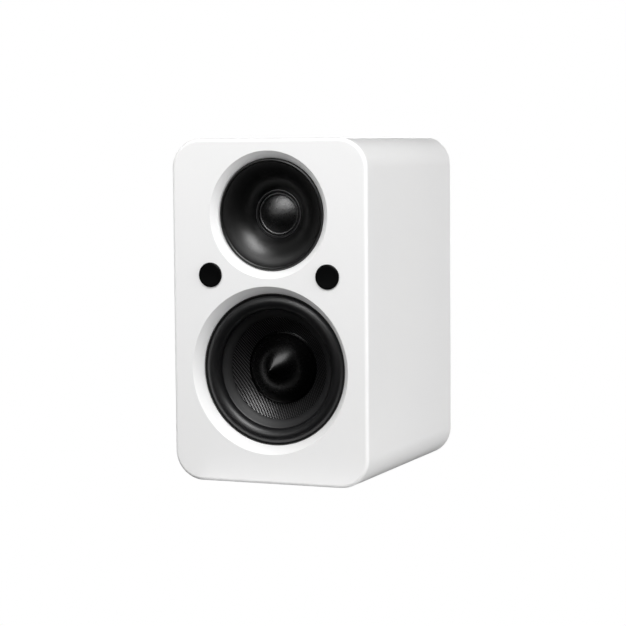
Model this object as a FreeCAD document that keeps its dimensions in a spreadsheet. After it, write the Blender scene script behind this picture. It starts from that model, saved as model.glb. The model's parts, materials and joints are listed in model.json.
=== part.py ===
"""Two-way bookshelf speaker, modelled piece by piece.

The frame: +Z up, the front faces -Y, +X to the right when the front is looked at.
The origin is the centre of the underside of the whole speaker, on the surface it stands on.
Every driver is drawn about its own axis: x is the radius and y is the depth behind the front plane.
"""
import FreeCAD, Part
import math
import os
import re
import Sketcher

V = FreeCAD.Vector

# Driving sizes in millimetres, by group.
SIZES = {
    # cabinet
    "cabinet_width": 140,
    "cabinet_height": 230,
    "cabinet_depth": 170,
    "corner_radius": 20,
    "edge_radius": 2.5,
    "wall_thick": 15,
    "baffle_thick": 18,
    "panel_thick": 12,
    "panel_gap": 0.3,
    "rebate_skin": 6,
    "seal_thick": 1,
    "foot_height": 1.5,
    "foot_radius": 7,
    "foot_side_inset": 32,
    "foot_end_inset": 26,
    "brace_gap": 8,
    "brace_thick": 9,
    "brace_rim": 15,
    "glue_gap": 0.2,
    "lining_thick": 8,
    # screws: shank radius, head radius, head height and how far a shank bites
    "screw_radius": 1.6,
    "screw_head": 3.1,
    "screw_head_height": 1.8,
    "screw_gap": 0.2,
    "panel_screw_length": 25,
    "slot_width": 0.8,
    # woofer
    "woofer_height": 76,
    "woofer_mouth": 56.1,
    "woofer_opening": 50.9,
    "woofer_seat": 8.2,
    "flare_bulge": 0.6,
    "woofer_gasket_thick": 1,
    "woofer_seal_radius": 50.2,
    "surround_thick": 0.8,
    "woofer_flange_half": 53,
    "woofer_flange_radius": 64,
    "woofer_flange_thick": 3,
    "woofer_screw_circle": 59,
    "woofer_screw_bite": 6,
    "basket_radius": 49.8,
    "basket_wall": 2,
    "basket_shoulder": 15.5,
    "ledge_radius": 38,
    "ledge_depth": 33.5,
    "pot_radius": 33,
    "plate_hole": 15,
    "basket_depth": 42,
    "window_half": 8.5,
    "window_root_half": 7.5,
    "window_foot": 1.4,
    "cone_edge": 38.5,
    "cone_edge_depth": 14.1,
    "cone_slope": 0.664,
    "cone_thick": 0.7,
    "lip_inner": 34.4,
    "roll_inner": 39.8,
    "roll_outer": 49.9,
    "roll_crown_depth": 6.6,
    "cap_base": 23.4,
    "cap_tip_depth": 0.5,
    "cap_bulge": 3.2,
    "cap_thick": 0.8,
    "coil_radius": 12.9,
    "coil_former_thick": 0.4,
    "winding_thick": 0.6,
    "winding_length": 7,
    "coil_gap": 0.5,
    "woofer_plate_radius": 30,
    "woofer_plate_thick": 4,
    "woofer_magnet_radius": 35,
    "woofer_magnet_hole": 17,
    "woofer_magnet_thick": 14,
    "woofer_yoke_radius": 31,
    "woofer_yoke_thick": 4.5,
    "pole_vent": 3.5,
    "spider_rise": 1.6,
    "spider_wave": 0.9,
    "spider_thick": 0.5,
    # tweeter
    "tweeter_clear": 2.5,
    "tweeter_mouth": 42.3,
    "tweeter_opening": 37.5,
    "tweeter_seat": 5.9,
    "tweeter_gasket_thick": 1,
    "tweeter_flange_radius": 47.5,
    "tweeter_flange_thick": 3,
    "tweeter_screw_circle": 43.5,
    "tweeter_screw_bite": 4,
    "bead_depth": 4.4,
    "bead_inner": 34.9,
    "bead_inner_depth": 5,
    "throat_radius": 16.4,
    "throat_depth": 18.1,
    "horn_bulge": 3.2,
    "horn_wall": 2.5,
    "throat_ring_width": 2,
    "throat_ring_rise": 0.5,
    "throat_ring_thick": 1.2,
    "dome_radius": 12.5,
    "dome_rise": 4.3,
    "dome_thick": 0.4,
    "dome_fullness": 1.06,
    "dome_shoulder": 0.45,
    "tweeter_coil_length": 4,
    "tweeter_winding_length": 2.4,
    "tweeter_plate_radius": 32,
    "tweeter_plate_thick": 3,
    "tweeter_magnet_radius": 33,
    "tweeter_magnet_hole": 16,
    "tweeter_magnet_thick": 10,
    "tweeter_yoke_radius": 30,
    "tweeter_yoke_thick": 4.5,
    # grille catches
    "catch_side": 42.1,
    "catch_height": 139.2,
    "catch_radius": 8.3,
    "catch_proud": 1.2,
    "catch_edge": 0.6,
    "catch_spigot": 5.5,
    "catch_length": 8,
    "catch_magnet_radius": 4,
    "catch_magnet_thick": 4,
    "catch_gap": 0.15,
    # bass reflex port
    "port_height": 165,
    "port_bore": 16,
    "port_wall": 2,
    "port_length": 92,
    "port_flare": 6,
    "port_flange_radius": 27,
    "port_flange_thick": 3,
    # terminals
    "cup_height": 70,
    "cup_half_width": 42,
    "cup_half_height": 32,
    "cup_corner": 6,
    "cup_flange_thick": 3,
    "cup_recess_half_width": 29,
    "cup_recess_half_height": 20,
    "cup_recess_depth": 24,
    "cup_wall": 2.5,
    "cup_floor": 3,
    "cup_screw_side": 36,
    "cup_screw_rise": 26,
    "cup_screw_length": 10,
    "post_side": 9.525,
    "post_radius": 3,
    "post_bore": 2,
    "post_bore_depth": 17,
    "post_length": 32,
    "post_tail": 10,
    "collar_radius": 6.5,
    "collar_length": 4,
    "collar_spigot": 4.5,
    "washer_radius": 5.6,
    "washer_thick": 0.8,
    "nut_radius": 6.5,
    "nut_length": 13,
    "nut_flute": 0.7,
    "run_gap": 0.08,
    "hex_radius": 5,
    "hex_thick": 2.8,
    # crossover
    "board_half_width": 42,
    "board_clear": 13,
    "board_length": 52,
    "board_thick": 1.6,
    "standoff_height": 5,
    "standoff_radius": 3,
    "board_screw_side": 38,
    "board_screw_inset": 4.5,
    "board_screw_length": 11,
    "low_coil_radius": 15.5,
    "low_coil_height": 15,
    "high_coil_radius": 8.5,
    "high_coil_height": 10,
    "film_radius": 6.5,
    "film_length": 28,
    "can_radius": 5.2,
    "can_length": 26,
    "resistor_length": 18,
    "resistor_side": 7,
    "part_gap": 1,
    "high_coil_side": 12.5,
    "film_side": 7,
    "film_row": 30,
    "can_side": 5,
    "can_row": 43,
    "tag_half_width": 9,
    "tag_thick": 1.6,
    "tab_side": 6,
    "tab_half": 1.6,
    "lead_radius": 1,
    "lead_straight": 12,
    "input_pad_side": 3,
    "input_pad_row": 20,
    "input_drop": 16,
    "woofer_pad_row": 4,
    "woofer_pad_near": 3,
    "woofer_pad_far": 11,
    "tweeter_pad_near": 18,
    "tweeter_pad_far": 26,
    "lead_edge": 3,
    "lead_tuck": 6,
    "lead_turn": 6,
    "lead_rise": 40,
    "lead_dip": 26,
    "lead_run": 18,
    "lead_spacing": 4,
}

doc = FreeCAD.newDocument("bookshelf_speaker")
sheet = doc.addObject("Spreadsheet::Sheet", "Size")
for row, (alias, number) in enumerate(SIZES.items(), start=1):
    sheet.set("A%d" % row, alias)
    sheet.set("B%d" % row, str(number))
    sheet.setAlias("B%d" % row, alias)
doc.recompute()

# Places that several pieces share, as expressions of the driving sizes.
FRONT = "(-(cabinet_depth - catch_proud) / 2)"
BASE = "foot_height"
WOOFER_Z = "(foot_height + woofer_height)"
TWEETER_RISE = "(cabinet_height - wall_thick - tweeter_magnet_radius - tweeter_clear)"
TWEETER_Z = "(foot_height + %s)" % TWEETER_RISE
CUP_Z = "(foot_height + cup_height)"
PORT_Z = "(foot_height + port_height)"
INNER_HALF = "(cabinet_width / 2 - wall_thick)"
LEDGE_AT = "(cabinet_depth - panel_thick - seal_thick)"
BOARD_AT = "(%s - board_clear - board_length)" % LEDGE_AT
BRACE_AT = "(%s - brace_gap - brace_thick)" % BOARD_AT
PANEL_EDGE = "(rebate_skin + panel_gap)"
PANEL_SCREW_IN = "((rebate_skin + wall_thick) / 2)"
SURROUND_AT = "(woofer_seat + woofer_gasket_thick)"
WOOFER_FLANGE_AT = "(woofer_seat + woofer_gasket_thick + surround_thick)"
WOOFER_FLANGE_END = "(woofer_seat + woofer_gasket_thick + surround_thick + woofer_flange_thick)"
CAP_BASE_AT = "(cone_edge_depth + (cone_edge - cap_base) * cone_slope)"
NECK_AT = "(cone_edge_depth + (cone_edge - coil_radius) * cone_slope)"
FORMER_INNER = "(coil_radius - coil_former_thick)"
POLE_RADIUS = "(coil_radius - coil_former_thick - coil_gap)"
PLATE_BORE = "(coil_radius + winding_thick + coil_gap)"
WINDING_MID = "(basket_depth + woofer_plate_thick / 2)"
WOOFER_MAGNET_AT = "(basket_depth + woofer_plate_thick)"
WOOFER_YOKE_AT = "(basket_depth + woofer_plate_thick + woofer_magnet_thick)"
SPIDER_INNER_AT = "(ledge_depth + spider_rise)"
TWEETER_FLANGE_AT = "(tweeter_seat + tweeter_gasket_thick)"
TWEETER_FLANGE_END = "(tweeter_seat + tweeter_gasket_thick + tweeter_flange_thick)"
DIAPHRAGM_AT = "(throat_depth + throat_ring_thick)"
TWEETER_PLATE_AT = "(throat_depth + throat_ring_thick + dome_thick)"
TWEETER_FORMER = "(dome_radius - dome_thick)"
TWEETER_BORE = "(dome_radius + dome_thick + coil_gap)"
TWEETER_MAGNET_AT = "(throat_depth + throat_ring_thick + dome_thick + tweeter_plate_thick)"
TWEETER_YOKE_AT = "(%s + tweeter_magnet_thick)" % TWEETER_MAGNET_AT
CUP_FLOOR_AT = "(cabinet_depth - cup_recess_depth)"
POST_END = "(cabinet_depth - cup_recess_depth - post_tail + post_length)"
WASHER_AT = "(cabinet_depth - cup_recess_depth + collar_length)"
BOARD_TOP = "(foot_height + wall_thick + standoff_height + board_thick)"
HOLE_RADIUS = "(screw_radius + screw_gap)"

BASKET_WINDOWS = 6
NUT_FLUTES = 18
SPIDER_WAVES = 5
HEX_SIDES = 6

TURN_TO_DEPTH = FreeCAD.Rotation(V(1, 0, 0), -90)
TURN_TO_SIDE = FreeCAD.Rotation(V(0, 1, 0), 90)
UPRIGHT = FreeCAD.Rotation()

pieces = []


def cells(text):
    """Write an expression of size names as one that reads the sheet."""

    def in_sheet(word):
        return ("Size." if word.group() in SIZES else "") + word.group()

    return re.sub(r"[a-z][a-z_]+", in_sheet, text)


def value(text):
    """The number that an expression of size names has now."""
    return float(sheet.evalExpression(cells(text)))


def bind(item, prop, text):
    item.setExpression(prop, cells(text))


def place(item, x="0", y="0", z="0", rotation=UPRIGHT):
    """Turn an object, then tie each coordinate of its base to the sheet."""
    item.Placement = FreeCAD.Placement(V(value(x), value(y), value(z)), rotation)
    bind(item, ".Placement.Base.x", x)
    bind(item, ".Placement.Base.y", y)
    bind(item, ".Placement.Base.z", z)


def finish(item, name):
    """Name an object as a piece of the speaker."""
    item.Label = name
    pieces.append(item)
    return item


# ---- sketches and features -------------------------------------------------------------


def new_body(name):
    return doc.addObject("PartDesign::Body", "body_" + name)


def sketch_on(body, plane, offset="0"):
    """A sketch on an origin plane of the body, moved along the plane's normal."""
    sketch = body.newObject("Sketcher::SketchObject", "sketch")
    planes = [item for item in body.Origin.OriginFeatures if item.Role == plane]
    sketch.AttachmentSupport = [(planes[0], "")]
    sketch.MapMode = "FlatFace"
    bind(sketch, ".AttachmentOffset.Base.z", offset)
    return sketch


def front_sketch(body, depth="0"):
    """A sketch parallel to the front plane, that far behind it."""
    return sketch_on(body, "XZ_Plane", "-(%s)" % depth)


def pin(sketch, geometry, point, x, y):
    """Hold a sketch point at two coordinates that the sheet gives."""
    for kind, text in (("DistanceX", x), ("DistanceY", y)):
        index = sketch.addConstraint(Sketcher.Constraint(kind, -1, 1, geometry, point, value(text)))
        bind(sketch, "Constraints[%d]" % index, text)


def outline(sketch, corners):
    """Close a chain through corners (x, y); (x, y, mid_x, mid_y) leaves its corner along an arc."""
    first = sketch.GeometryCount
    count = len(corners)
    spots = [V(value(corner[0]), value(corner[1]), 0) for corner in corners]
    middles = []
    for index, corner in enumerate(corners):
        start = spots[index]
        end = spots[(index + 1) % count]
        if len(corner) == 4:
            middle = V(value(corner[2]), value(corner[3]), 0)
            sketch.addGeometry(Part.Arc(start, middle, end), False)
            middles.append((first + index, middle, corner))
        else:
            sketch.addGeometry(Part.LineSegment(start, end), False)
    # An arc's end 1 is the start of its counterclockwise sweep, which may be the far corner.
    ends = []
    for index in range(count):
        near = sketch.getPoint(first + index, 1).distanceToPoint(spots[index])
        far = sketch.getPoint(first + index, 2).distanceToPoint(spots[index])
        ends.append((1, 2) if near <= far else (2, 1))
    for index in range(count):
        after = (index + 1) % count
        sketch.addConstraint(
            Sketcher.Constraint("Coincident", first + index, ends[index][1], first + after, ends[after][0])
        )
        pin(sketch, first + index, ends[index][0], corners[index][0], corners[index][1])
    for arc, middle, corner in middles:
        point = sketch.addGeometry(Part.Point(middle), True)
        sketch.addConstraint(Sketcher.Constraint("PointOnObject", point, 1, arc))
        pin(sketch, point, 1, corner[2], corner[3])


def circles(sketch, centres, radius):
    for x, y in centres:
        index = sketch.addGeometry(Part.Circle(V(value(x), value(y), 0), V(0, 0, 1), value(radius)), False)
        pin(sketch, index, 3, x, y)
        fixed = sketch.addConstraint(Sketcher.Constraint("Radius", index, value(radius)))
        bind(sketch, "Constraints[%d]" % fixed, radius)


def pad(body, sketch, length):
    """Extrude a front sketch away from the front."""
    feature = body.newObject("PartDesign::Pad", "pad")
    feature.Profile = sketch
    feature.Reversed = True
    bind(feature, "Length", length)
    return feature


def pocket(body, sketch, length):
    """Cut a front sketch away from the front."""
    feature = body.newObject("PartDesign::Pocket", "pocket")
    feature.Profile = sketch
    bind(feature, "Length", length)
    return feature


def turn(name, corners, x="0", z="0"):
    """A piece turned about a depth axis, from its half section of (radius, depth) corners."""
    body = new_body(name)
    sketch = sketch_on(body, "XY_Plane")
    outline(sketch, corners)
    feature = body.newObject("PartDesign::Revolution", "turned")
    feature.Profile = sketch
    feature.ReferenceAxis = (sketch, ["V_Axis"])
    feature.Angle = 360
    place(body, x, FRONT, z)
    return finish(body, name)


def turned_cut(body, corners, z):
    """Cut a turned recess about the depth axis at that height."""
    sketch = sketch_on(body, "XY_Plane", z)
    outline(sketch, corners)
    feature = body.newObject("PartDesign::Groove", "groove")
    feature.Profile = sketch
    feature.ReferenceAxis = (sketch, ["V_Axis"])
    feature.Angle = 360
    return feature


def drill(body, centres, radius, depth, length):
    sketch = front_sketch(body, depth)
    circles(sketch, centres, radius)
    return pocket(body, sketch, length)


def repeat_about_axis(body, feature, count):
    """Repeat a feature round the body's depth axis."""
    pattern = body.newObject("PartDesign::PolarPattern", "pattern")
    pattern.Originals = [feature]
    axes = [item for item in body.Origin.OriginFeatures if item.Role == "Y_Axis"]
    pattern.Axis = (axes[0], [""])
    pattern.Angle = 360
    pattern.Occurrences = count
    body.Tip = pattern
    return pattern


def rounded(half_width, low, high, radius):
    """A rectangle with round corners, each corner arc given by its middle."""
    cut = "%s * (1 - sqrt(0.5))" % radius
    right = "(%s)" % half_width
    left = "-(%s)" % half_width
    return [
        (right, "%s + %s" % (low, radius)),
        (right, "%s - %s" % (high, radius), "%s - %s" % (right, cut), "%s - %s" % (high, cut)),
        ("%s - %s" % (right, radius), high),
        ("%s + %s" % (left, radius), high, "%s + %s" % (left, cut), "%s - %s" % (high, cut)),
        (left, "%s - %s" % (high, radius)),
        (left, "%s + %s" % (low, radius), "%s + %s" % (left, cut), "%s + %s" % (low, cut)),
        ("%s + %s" % (left, radius), low),
        ("%s - %s" % (right, radius), low, "%s - %s" % (right, cut), "%s + %s" % (low, cut)),
    ]


def trimmed_circle(half, radius, z):
    """A circle cut off flat at the same distance on four sides."""
    chord = "sqrt((%s)^2 - (%s)^2)" % (radius, half)
    slant = "(%s) * sqrt(0.5)" % radius
    half = "(%s)" % half
    return [
        (half, "%s - %s" % (z, chord)),
        (half, "%s + %s" % (z, chord), slant, "%s + %s" % (z, slant)),
        (chord, "%s + %s" % (z, half)),
        ("-" + chord, "%s + %s" % (z, half), "-" + slant, "%s + %s" % (z, slant)),
        ("-" + half, "%s + %s" % (z, chord)),
        ("-" + half, "%s - %s" % (z, chord), "-" + slant, "%s - %s" % (z, slant)),
        ("-" + chord, "%s - %s" % (z, half)),
        (chord, "%s - %s" % (z, half), slant, "%s - %s" % (z, slant)),
    ]


def four_on_circle(circle, z="0"):
    """Centres of four screws on a circle, between the upright and the level."""
    slant = "(%s) * sqrt(0.5)" % circle
    return [(sign_x + slant, "%s %s %s" % (z, sign_z, slant)) for sign_x in ("", "-") for sign_z in "+-"]


def washer_section(inner, outer, start, end):
    return [(inner, start), (outer, start), (outer, end), (inner, end)]


# ---- primitives ------------------------------------------------------------------------


def cylinder(radius, length, x, y, z, rotation=TURN_TO_DEPTH):
    item = doc.addObject("Part::Cylinder", "cylinder")
    bind(item, "Radius", radius)
    bind(item, "Height", length)
    place(item, x, y, z, rotation)
    return item


def box(width, depth, height, x, y, z):
    """A box centred on x, from y backwards and from z upwards."""
    item = doc.addObject("Part::Box", "box")
    bind(item, "Length", width)
    bind(item, "Width", depth)
    bind(item, "Height", height)
    place(item, "%s - (%s) / 2" % (x, width), y, z)
    return item


def fuse(items):
    item = doc.addObject("Part::MultiFuse", "fuse")
    item.Shapes = items
    return item


def cut(base, tool):
    item = doc.addObject("Part::Cut", "cut")
    item.Base = base
    item.Tool = tool
    return item


def group(items, name):
    """Separate solids that share one node."""
    item = doc.addObject("Part::Compound", "group")
    item.Links = items
    return finish(item, name)


def screw(x, z, head_at, length, flush):
    """A cross-slotted screw driven from behind: its head at a depth, its shank towards the front."""
    shank = cylinder("screw_radius", length, x, "%s - (%s)" % (head_at, length), z)
    head = doc.addObject("Part::Cone", "head") if flush else doc.addObject("Part::Cylinder", "head")
    if flush:
        bind(head, "Radius1", "screw_radius")
        bind(head, "Radius2", "screw_head")
        start = "%s - screw_head_height" % head_at
    else:
        bind(head, "Radius", "screw_head")
        start = head_at
    bind(head, "Height", "screw_head_height")
    place(head, x, start, z, TURN_TO_DEPTH)
    top = "%s + screw_head_height / 2" % start
    reach = "screw_head * 1.3"
    upright = box("slot_width", "screw_head_height", reach, x, top, "%s - (%s) / 2" % (z, reach))
    level = box(reach, "screw_head_height", "slot_width", x, top, "%s - slot_width / 2" % z)
    return cut(fuse([shank, head]), fuse([upright, level]))


ARC_SHARE = 0.45


def lead(points, radius):
    """A wire along straight runs joined by tangent arcs as large as the runs allow."""
    spots = [V(*(value(text) for text in point)) for point in points]
    edges = []
    start = spots[0]
    for before, corner, after in zip(spots, spots[1:], spots[2:]):
        incoming = (corner - before).normalize()
        outgoing = (after - corner).normalize()
        back = ARC_SHARE * min(corner.distanceToPoint(before), corner.distanceToPoint(after))
        first = corner - incoming * back
        last = corner + outgoing * back
        centre_line = (outgoing - incoming).normalize()
        half_turn = incoming.getAngle(outgoing) / 2
        bend = back / math.tan(half_turn)
        centre = corner + centre_line * (bend / math.cos(half_turn))
        middle = centre - centre_line * bend
        edges.append(Part.LineSegment(start, first).toShape())
        edges.append(Part.Arc(first, middle, last).toShape())
        start = last
    edges.append(Part.LineSegment(start, spots[-1]).toShape())
    path = Part.Wire(edges)
    ring = Part.Wire(Part.Circle(spots[0], spots[1] - spots[0], radius).toShape())
    return path.makePipeShell([ring], True, False)


# ---- cabinet ---------------------------------------------------------------------------


def cabinet_outline(inset, radius):
    """The cabinet's rounded section, drawn in by an inset."""
    low = "(%s)" % inset
    high = "(cabinet_height - %s)" % inset
    return rounded("cabinet_width / 2 - %s" % inset, low, high, radius)


def edges_at_depth(feature, depth):
    """The feature's edges that lie in the plane at that depth."""
    doc.recompute()
    names = []
    for index, edge in enumerate(feature.Shape.Edges, start=1):
        extent = edge.BoundBox
        if abs(extent.YMin - depth) < 1e-4 and abs(extent.YMax - depth) < 1e-4:
            names.append("Edge%d" % index)
    return names


def round_edges(body, feature, depth):
    rounding = body.newObject("PartDesign::Fillet", "fillet")
    rounding.Base = (feature, edges_at_depth(feature, depth))
    bind(rounding, "Radius", "edge_radius")
    return rounding


def woofer_screws_at(z):
    return four_on_circle("woofer_screw_circle", z)


def tweeter_screws_at(z):
    return four_on_circle("tweeter_screw_circle", z)


def panel_screws_at():
    """Eight screws along the ledge that the rear panel closes on."""
    side = "(cabinet_width / 2 - %s)" % PANEL_SCREW_IN
    low = PANEL_SCREW_IN
    high = "(cabinet_height - %s)" % PANEL_SCREW_IN
    near_low = "(corner_radius + wall_thick)"
    near_high = "(cabinet_height - corner_radius - wall_thick)"
    places = [("0", low), ("0", high)]
    for rise in (near_low, "(cabinet_height / 2)", near_high):
        places += [(side, rise), ("-" + side, rise)]
    return places


def board_screws_at():
    """Crossover board screws as (x, depth)."""
    near = "(%s + board_screw_inset)" % BOARD_AT
    far = "(%s + board_length - board_screw_inset)" % BOARD_AT
    return [(sign + "board_screw_side", depth) for sign in ("", "-") for depth in (near, far)]


def front_baffle():
    """Front panel with a flared mouth and a rear seat for each driver."""
    body = new_body("front_baffle")
    sketch = front_sketch(body)
    outline(sketch, cabinet_outline("0", "corner_radius"))
    slab = pad(body, sketch, "baffle_thick")
    round_edges(body, slab, 0)
    for mouth, opening, seat, z in (
        ("woofer_mouth", "woofer_opening", "woofer_seat", "woofer_height"),
        ("tweeter_mouth", "tweeter_opening", "tweeter_seat", TWEETER_RISE),
    ):
        bulge = "(%s + %s) / 2 - flare_bulge" % (mouth, opening)
        flare = [("0", "-1"), (mouth, "-1"), (mouth, "0", bulge, seat + " / 2"), (opening, seat), ("0", seat)]
        turned_cut(body, flare, z)
    seat_cut = front_sketch(body, "woofer_seat")
    half = "woofer_flange_half + panel_gap"
    outline(seat_cut, trimmed_circle(half, "woofer_flange_radius + panel_gap", "woofer_height"))
    pocket(body, seat_cut, "baffle_thick - woofer_seat")
    drill(
        body,
        [("0", TWEETER_RISE)],
        "tweeter_flange_radius + panel_gap",
        "tweeter_seat",
        "baffle_thick - tweeter_seat",
    )
    bite = "woofer_screw_bite + screw_gap"
    drill(body, woofer_screws_at("woofer_height"), HOLE_RADIUS, "woofer_seat - (%s)" % bite, bite)
    bite = "tweeter_screw_bite + screw_gap"
    drill(body, tweeter_screws_at(TWEETER_RISE), HOLE_RADIUS, "tweeter_seat - (%s)" % bite, bite)
    catches = [("catch_side", "catch_height"), ("-catch_side", "catch_height")]
    drill(body, catches, "catch_spigot + catch_gap", "0", "catch_length + catch_gap")
    place(body, "0", FRONT, BASE)
    return finish(body, "front_baffle")


def cabinet_shell():
    """The wrap of top, bottom and sides, with a rebate behind for the rear panel."""
    body = new_body("cabinet_shell")
    sketch = front_sketch(body, "baffle_thick")
    outline(sketch, cabinet_outline("0", "corner_radius"))
    wrap = pad(body, sketch, "cabinet_depth - baffle_thick")
    round_edges(body, wrap, value("cabinet_depth"))
    inside = front_sketch(body, "baffle_thick")
    outline(inside, cabinet_outline("wall_thick", "(corner_radius - wall_thick)"))
    pocket(body, inside, "cabinet_depth")
    rebate = front_sketch(body, LEDGE_AT)
    outline(rebate, cabinet_outline("rebate_skin", "(corner_radius - rebate_skin)"))
    pocket(body, rebate, "cabinet_depth")
    bite = "(panel_screw_length - panel_thick - seal_thick + screw_gap)"
    drill(body, panel_screws_at(), HOLE_RADIUS, "%s - %s" % (LEDGE_AT, bite), bite)
    drill_floor = sketch_on(body, "XY_Plane", "wall_thick")
    circles(drill_floor, board_screws_at(), HOLE_RADIUS)
    sockets = body.newObject("PartDesign::Pocket", "pocket")
    sockets.Profile = drill_floor
    bind(sockets, "Length", "board_screw_length - standoff_height - board_thick + screw_gap")
    place(body, "0", FRONT, BASE)
    return finish(body, "cabinet_shell")


def rear_panel():
    """Screwed rear panel with the terminal cup's cut-out and the port's hole."""
    body = new_body("rear_panel")
    sketch = front_sketch(body, "cabinet_depth - panel_thick")
    outline(sketch, cabinet_outline(PANEL_EDGE, "(corner_radius - %s)" % PANEL_EDGE))
    pad(body, sketch, "panel_thick")
    drill(body, panel_screws_at(), HOLE_RADIUS, "cabinet_depth - 2 * panel_thick", "2 * panel_thick")
    for x, z in panel_screws_at():
        countersink(body, x, z)
    drill(body, [("0", "port_height")], "port_bore + port_wall + panel_gap", LEDGE_AT, "2 * panel_thick")
    flange_at = "cabinet_depth - port_flange_thick"
    drill(body, [("0", "port_height")], "port_flange_radius + panel_gap", flange_at, "port_flange_thick")
    window = front_sketch(body, LEDGE_AT)
    inner_half = "cup_recess_half_width + cup_wall + panel_gap"
    inner_rise = "(cup_recess_half_height + cup_wall + panel_gap)"
    low = "cup_height - " + inner_rise
    high = "cup_height + " + inner_rise
    outline(window, rounded(inner_half, low, high, "(cup_corner - cup_wall / 2 + panel_gap)"))
    pocket(body, window, "2 * panel_thick")
    seat = front_sketch(body, "cabinet_depth - cup_flange_thick")
    outline(seat, cup_flange_outline("panel_gap"))
    pocket(body, seat, "cup_flange_thick")
    length = "cup_screw_length - cup_flange_thick + screw_gap"
    cup_screw_end = "cabinet_depth - cup_flange_thick - (%s)" % length
    drill(body, cup_screws_at("cup_height"), HOLE_RADIUS, cup_screw_end, length)
    place(body, "0", FRONT, BASE)
    return finish(body, "rear_panel")


def countersink(body, x, z):
    """A conical seat for a flush head at the rear face."""
    sketch = sketch_on(body, "XY_Plane", z)
    inner = "%s + %s" % (x, HOLE_RADIUS)
    outer = "%s + screw_head + screw_gap" % x
    start = "cabinet_depth - screw_head_height - screw_gap"
    outline(sketch, [(x, start), (inner, start), (outer, "cabinet_depth"), (x, "cabinet_depth")])
    feature = body.newObject("PartDesign::Groove", "groove")
    feature.Profile = sketch
    feature.ReferenceAxis = (sketch, ["Edge4"])
    feature.Angle = 360
    return feature


def rear_panel_seal():
    """Foam seal between the ledge and the rear panel."""
    body = new_body("rear_panel_seal")
    sketch = front_sketch(body, LEDGE_AT)
    outline(sketch, cabinet_outline(PANEL_EDGE, "(corner_radius - %s)" % PANEL_EDGE))
    outline(sketch, cabinet_outline("wall_thick", "(corner_radius - wall_thick)"))
    pad(body, sketch, "seal_thick")
    drill(body, panel_screws_at(), HOLE_RADIUS, LEDGE_AT, "seal_thick")
    place(body, "0", FRONT, BASE)
    return finish(body, "rear_panel_seal")


def rear_panel_screws():
    rear = "%s + cabinet_depth" % FRONT
    solids = [
        screw(x, "foot_height + " + z, rear, "panel_screw_length", True)
        for x, z in panel_screws_at()
    ]
    return group(solids, "rear_panel_screws")


def window_brace():
    """A frame glued between the four walls to stiffen them."""
    body = new_body("window_brace")
    sketch = front_sketch(body, BRACE_AT)
    outline(sketch, cabinet_outline("(wall_thick + glue_gap)", "(corner_radius - wall_thick)"))
    outline(sketch, cabinet_outline("(wall_thick + brace_rim)", "brace_rim"))
    pad(body, sketch, "brace_thick")
    place(body, "0", FRONT, BASE)
    return finish(body, "window_brace")


def damping_lining():
    """Felt pads on both side walls and under the top, behind the brace."""
    start = "%s + %s + brace_thick + lining_thick" % (FRONT, BRACE_AT)
    length = "(%s - %s - brace_thick - 2 * lining_thick)" % (LEDGE_AT, BRACE_AT)
    low = "foot_height + wall_thick + 3 * lining_thick"
    rise = "cabinet_height - 2 * wall_thick - 5 * lining_thick"
    side = "(%s - glue_gap - lining_thick / 2)" % INNER_HALF
    top_width = "2 * %s - 4 * lining_thick" % INNER_HALF
    top_z = "foot_height + cabinet_height - wall_thick - glue_gap - lining_thick"
    pads = [
        box("lining_thick", length, rise, side, start, low),
        box("lining_thick", length, rise, "-" + side, start, low),
        box(top_width, length, "lining_thick", "0", start, top_z),
    ]
    return group(pads, "damping_lining")


def rubber_feet():
    """Four round rubber pads glued under the corners."""
    pads = []
    for side in ("", "-"):
        for y in ("%s + foot_end_inset" % FRONT, "%s + cabinet_depth - foot_end_inset" % FRONT):
            x = side + "(cabinet_width / 2 - foot_side_inset)"
            pads.append(cylinder("foot_radius", "foot_height", x, y, "0", UPRIGHT))
    return group(pads, "rubber_feet")


# ---- woofer ----------------------------------------------------------------------------


def woofer_frame():
    """Cast basket: a trimmed flange, an open conical cage, the spider ledge and the magnet pot."""
    flange = "woofer_flange_radius"
    at = WOOFER_FLANGE_AT
    end = WOOFER_FLANGE_END
    corners = [
        ("basket_radius", at),
        (flange, at),
        (flange, end),
        ("basket_radius + basket_wall", end),
        ("basket_radius + basket_wall / 2", "basket_shoulder"),
        ("ledge_radius + basket_wall / 2", "ledge_depth + basket_wall"),
        ("pot_radius + basket_wall", "ledge_depth + basket_wall"),
        ("pot_radius", "basket_depth"),
        ("plate_hole", "basket_depth"),
        ("plate_hole", "basket_depth - basket_wall"),
        ("pot_radius - basket_wall", "basket_depth - basket_wall"),
        ("pot_radius", "ledge_depth"),
        ("ledge_radius", "ledge_depth"),
        ("basket_radius - basket_wall", "basket_shoulder"),
    ]
    frame = turn("woofer_frame", corners, "0", WOOFER_Z)
    trim_flange(frame)
    drill(frame, woofer_screws_at("0"), HOLE_RADIUS, at, "woofer_flange_thick")
    window = front_sketch(frame, "basket_shoulder")
    outer = "basket_radius - basket_wall / 4"
    inner = "ledge_radius + window_foot"
    outline(
        window,
        [
            ("window_half", outer),
            ("-window_half", outer),
            ("-window_root_half", inner),
            ("window_root_half", inner),
        ],
    )
    opening = pocket(frame, window, "ledge_depth - basket_shoulder - basket_wall")
    repeat_about_axis(frame, opening, BASKET_WINDOWS)
    return frame


def trim_flange(frame):
    """Cut the round flange off flat on four sides."""
    sketch = front_sketch(frame, WOOFER_FLANGE_AT)
    beyond = "(woofer_flange_radius + 1)"
    below = "-" + beyond
    outline(sketch, [(beyond, below), (beyond, beyond), (below, beyond), (below, below)])
    outline(sketch, trimmed_circle("woofer_flange_half", "woofer_flange_radius + 0.5", "0"))
    return pocket(frame, sketch, "woofer_flange_thick + basket_wall")


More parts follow.
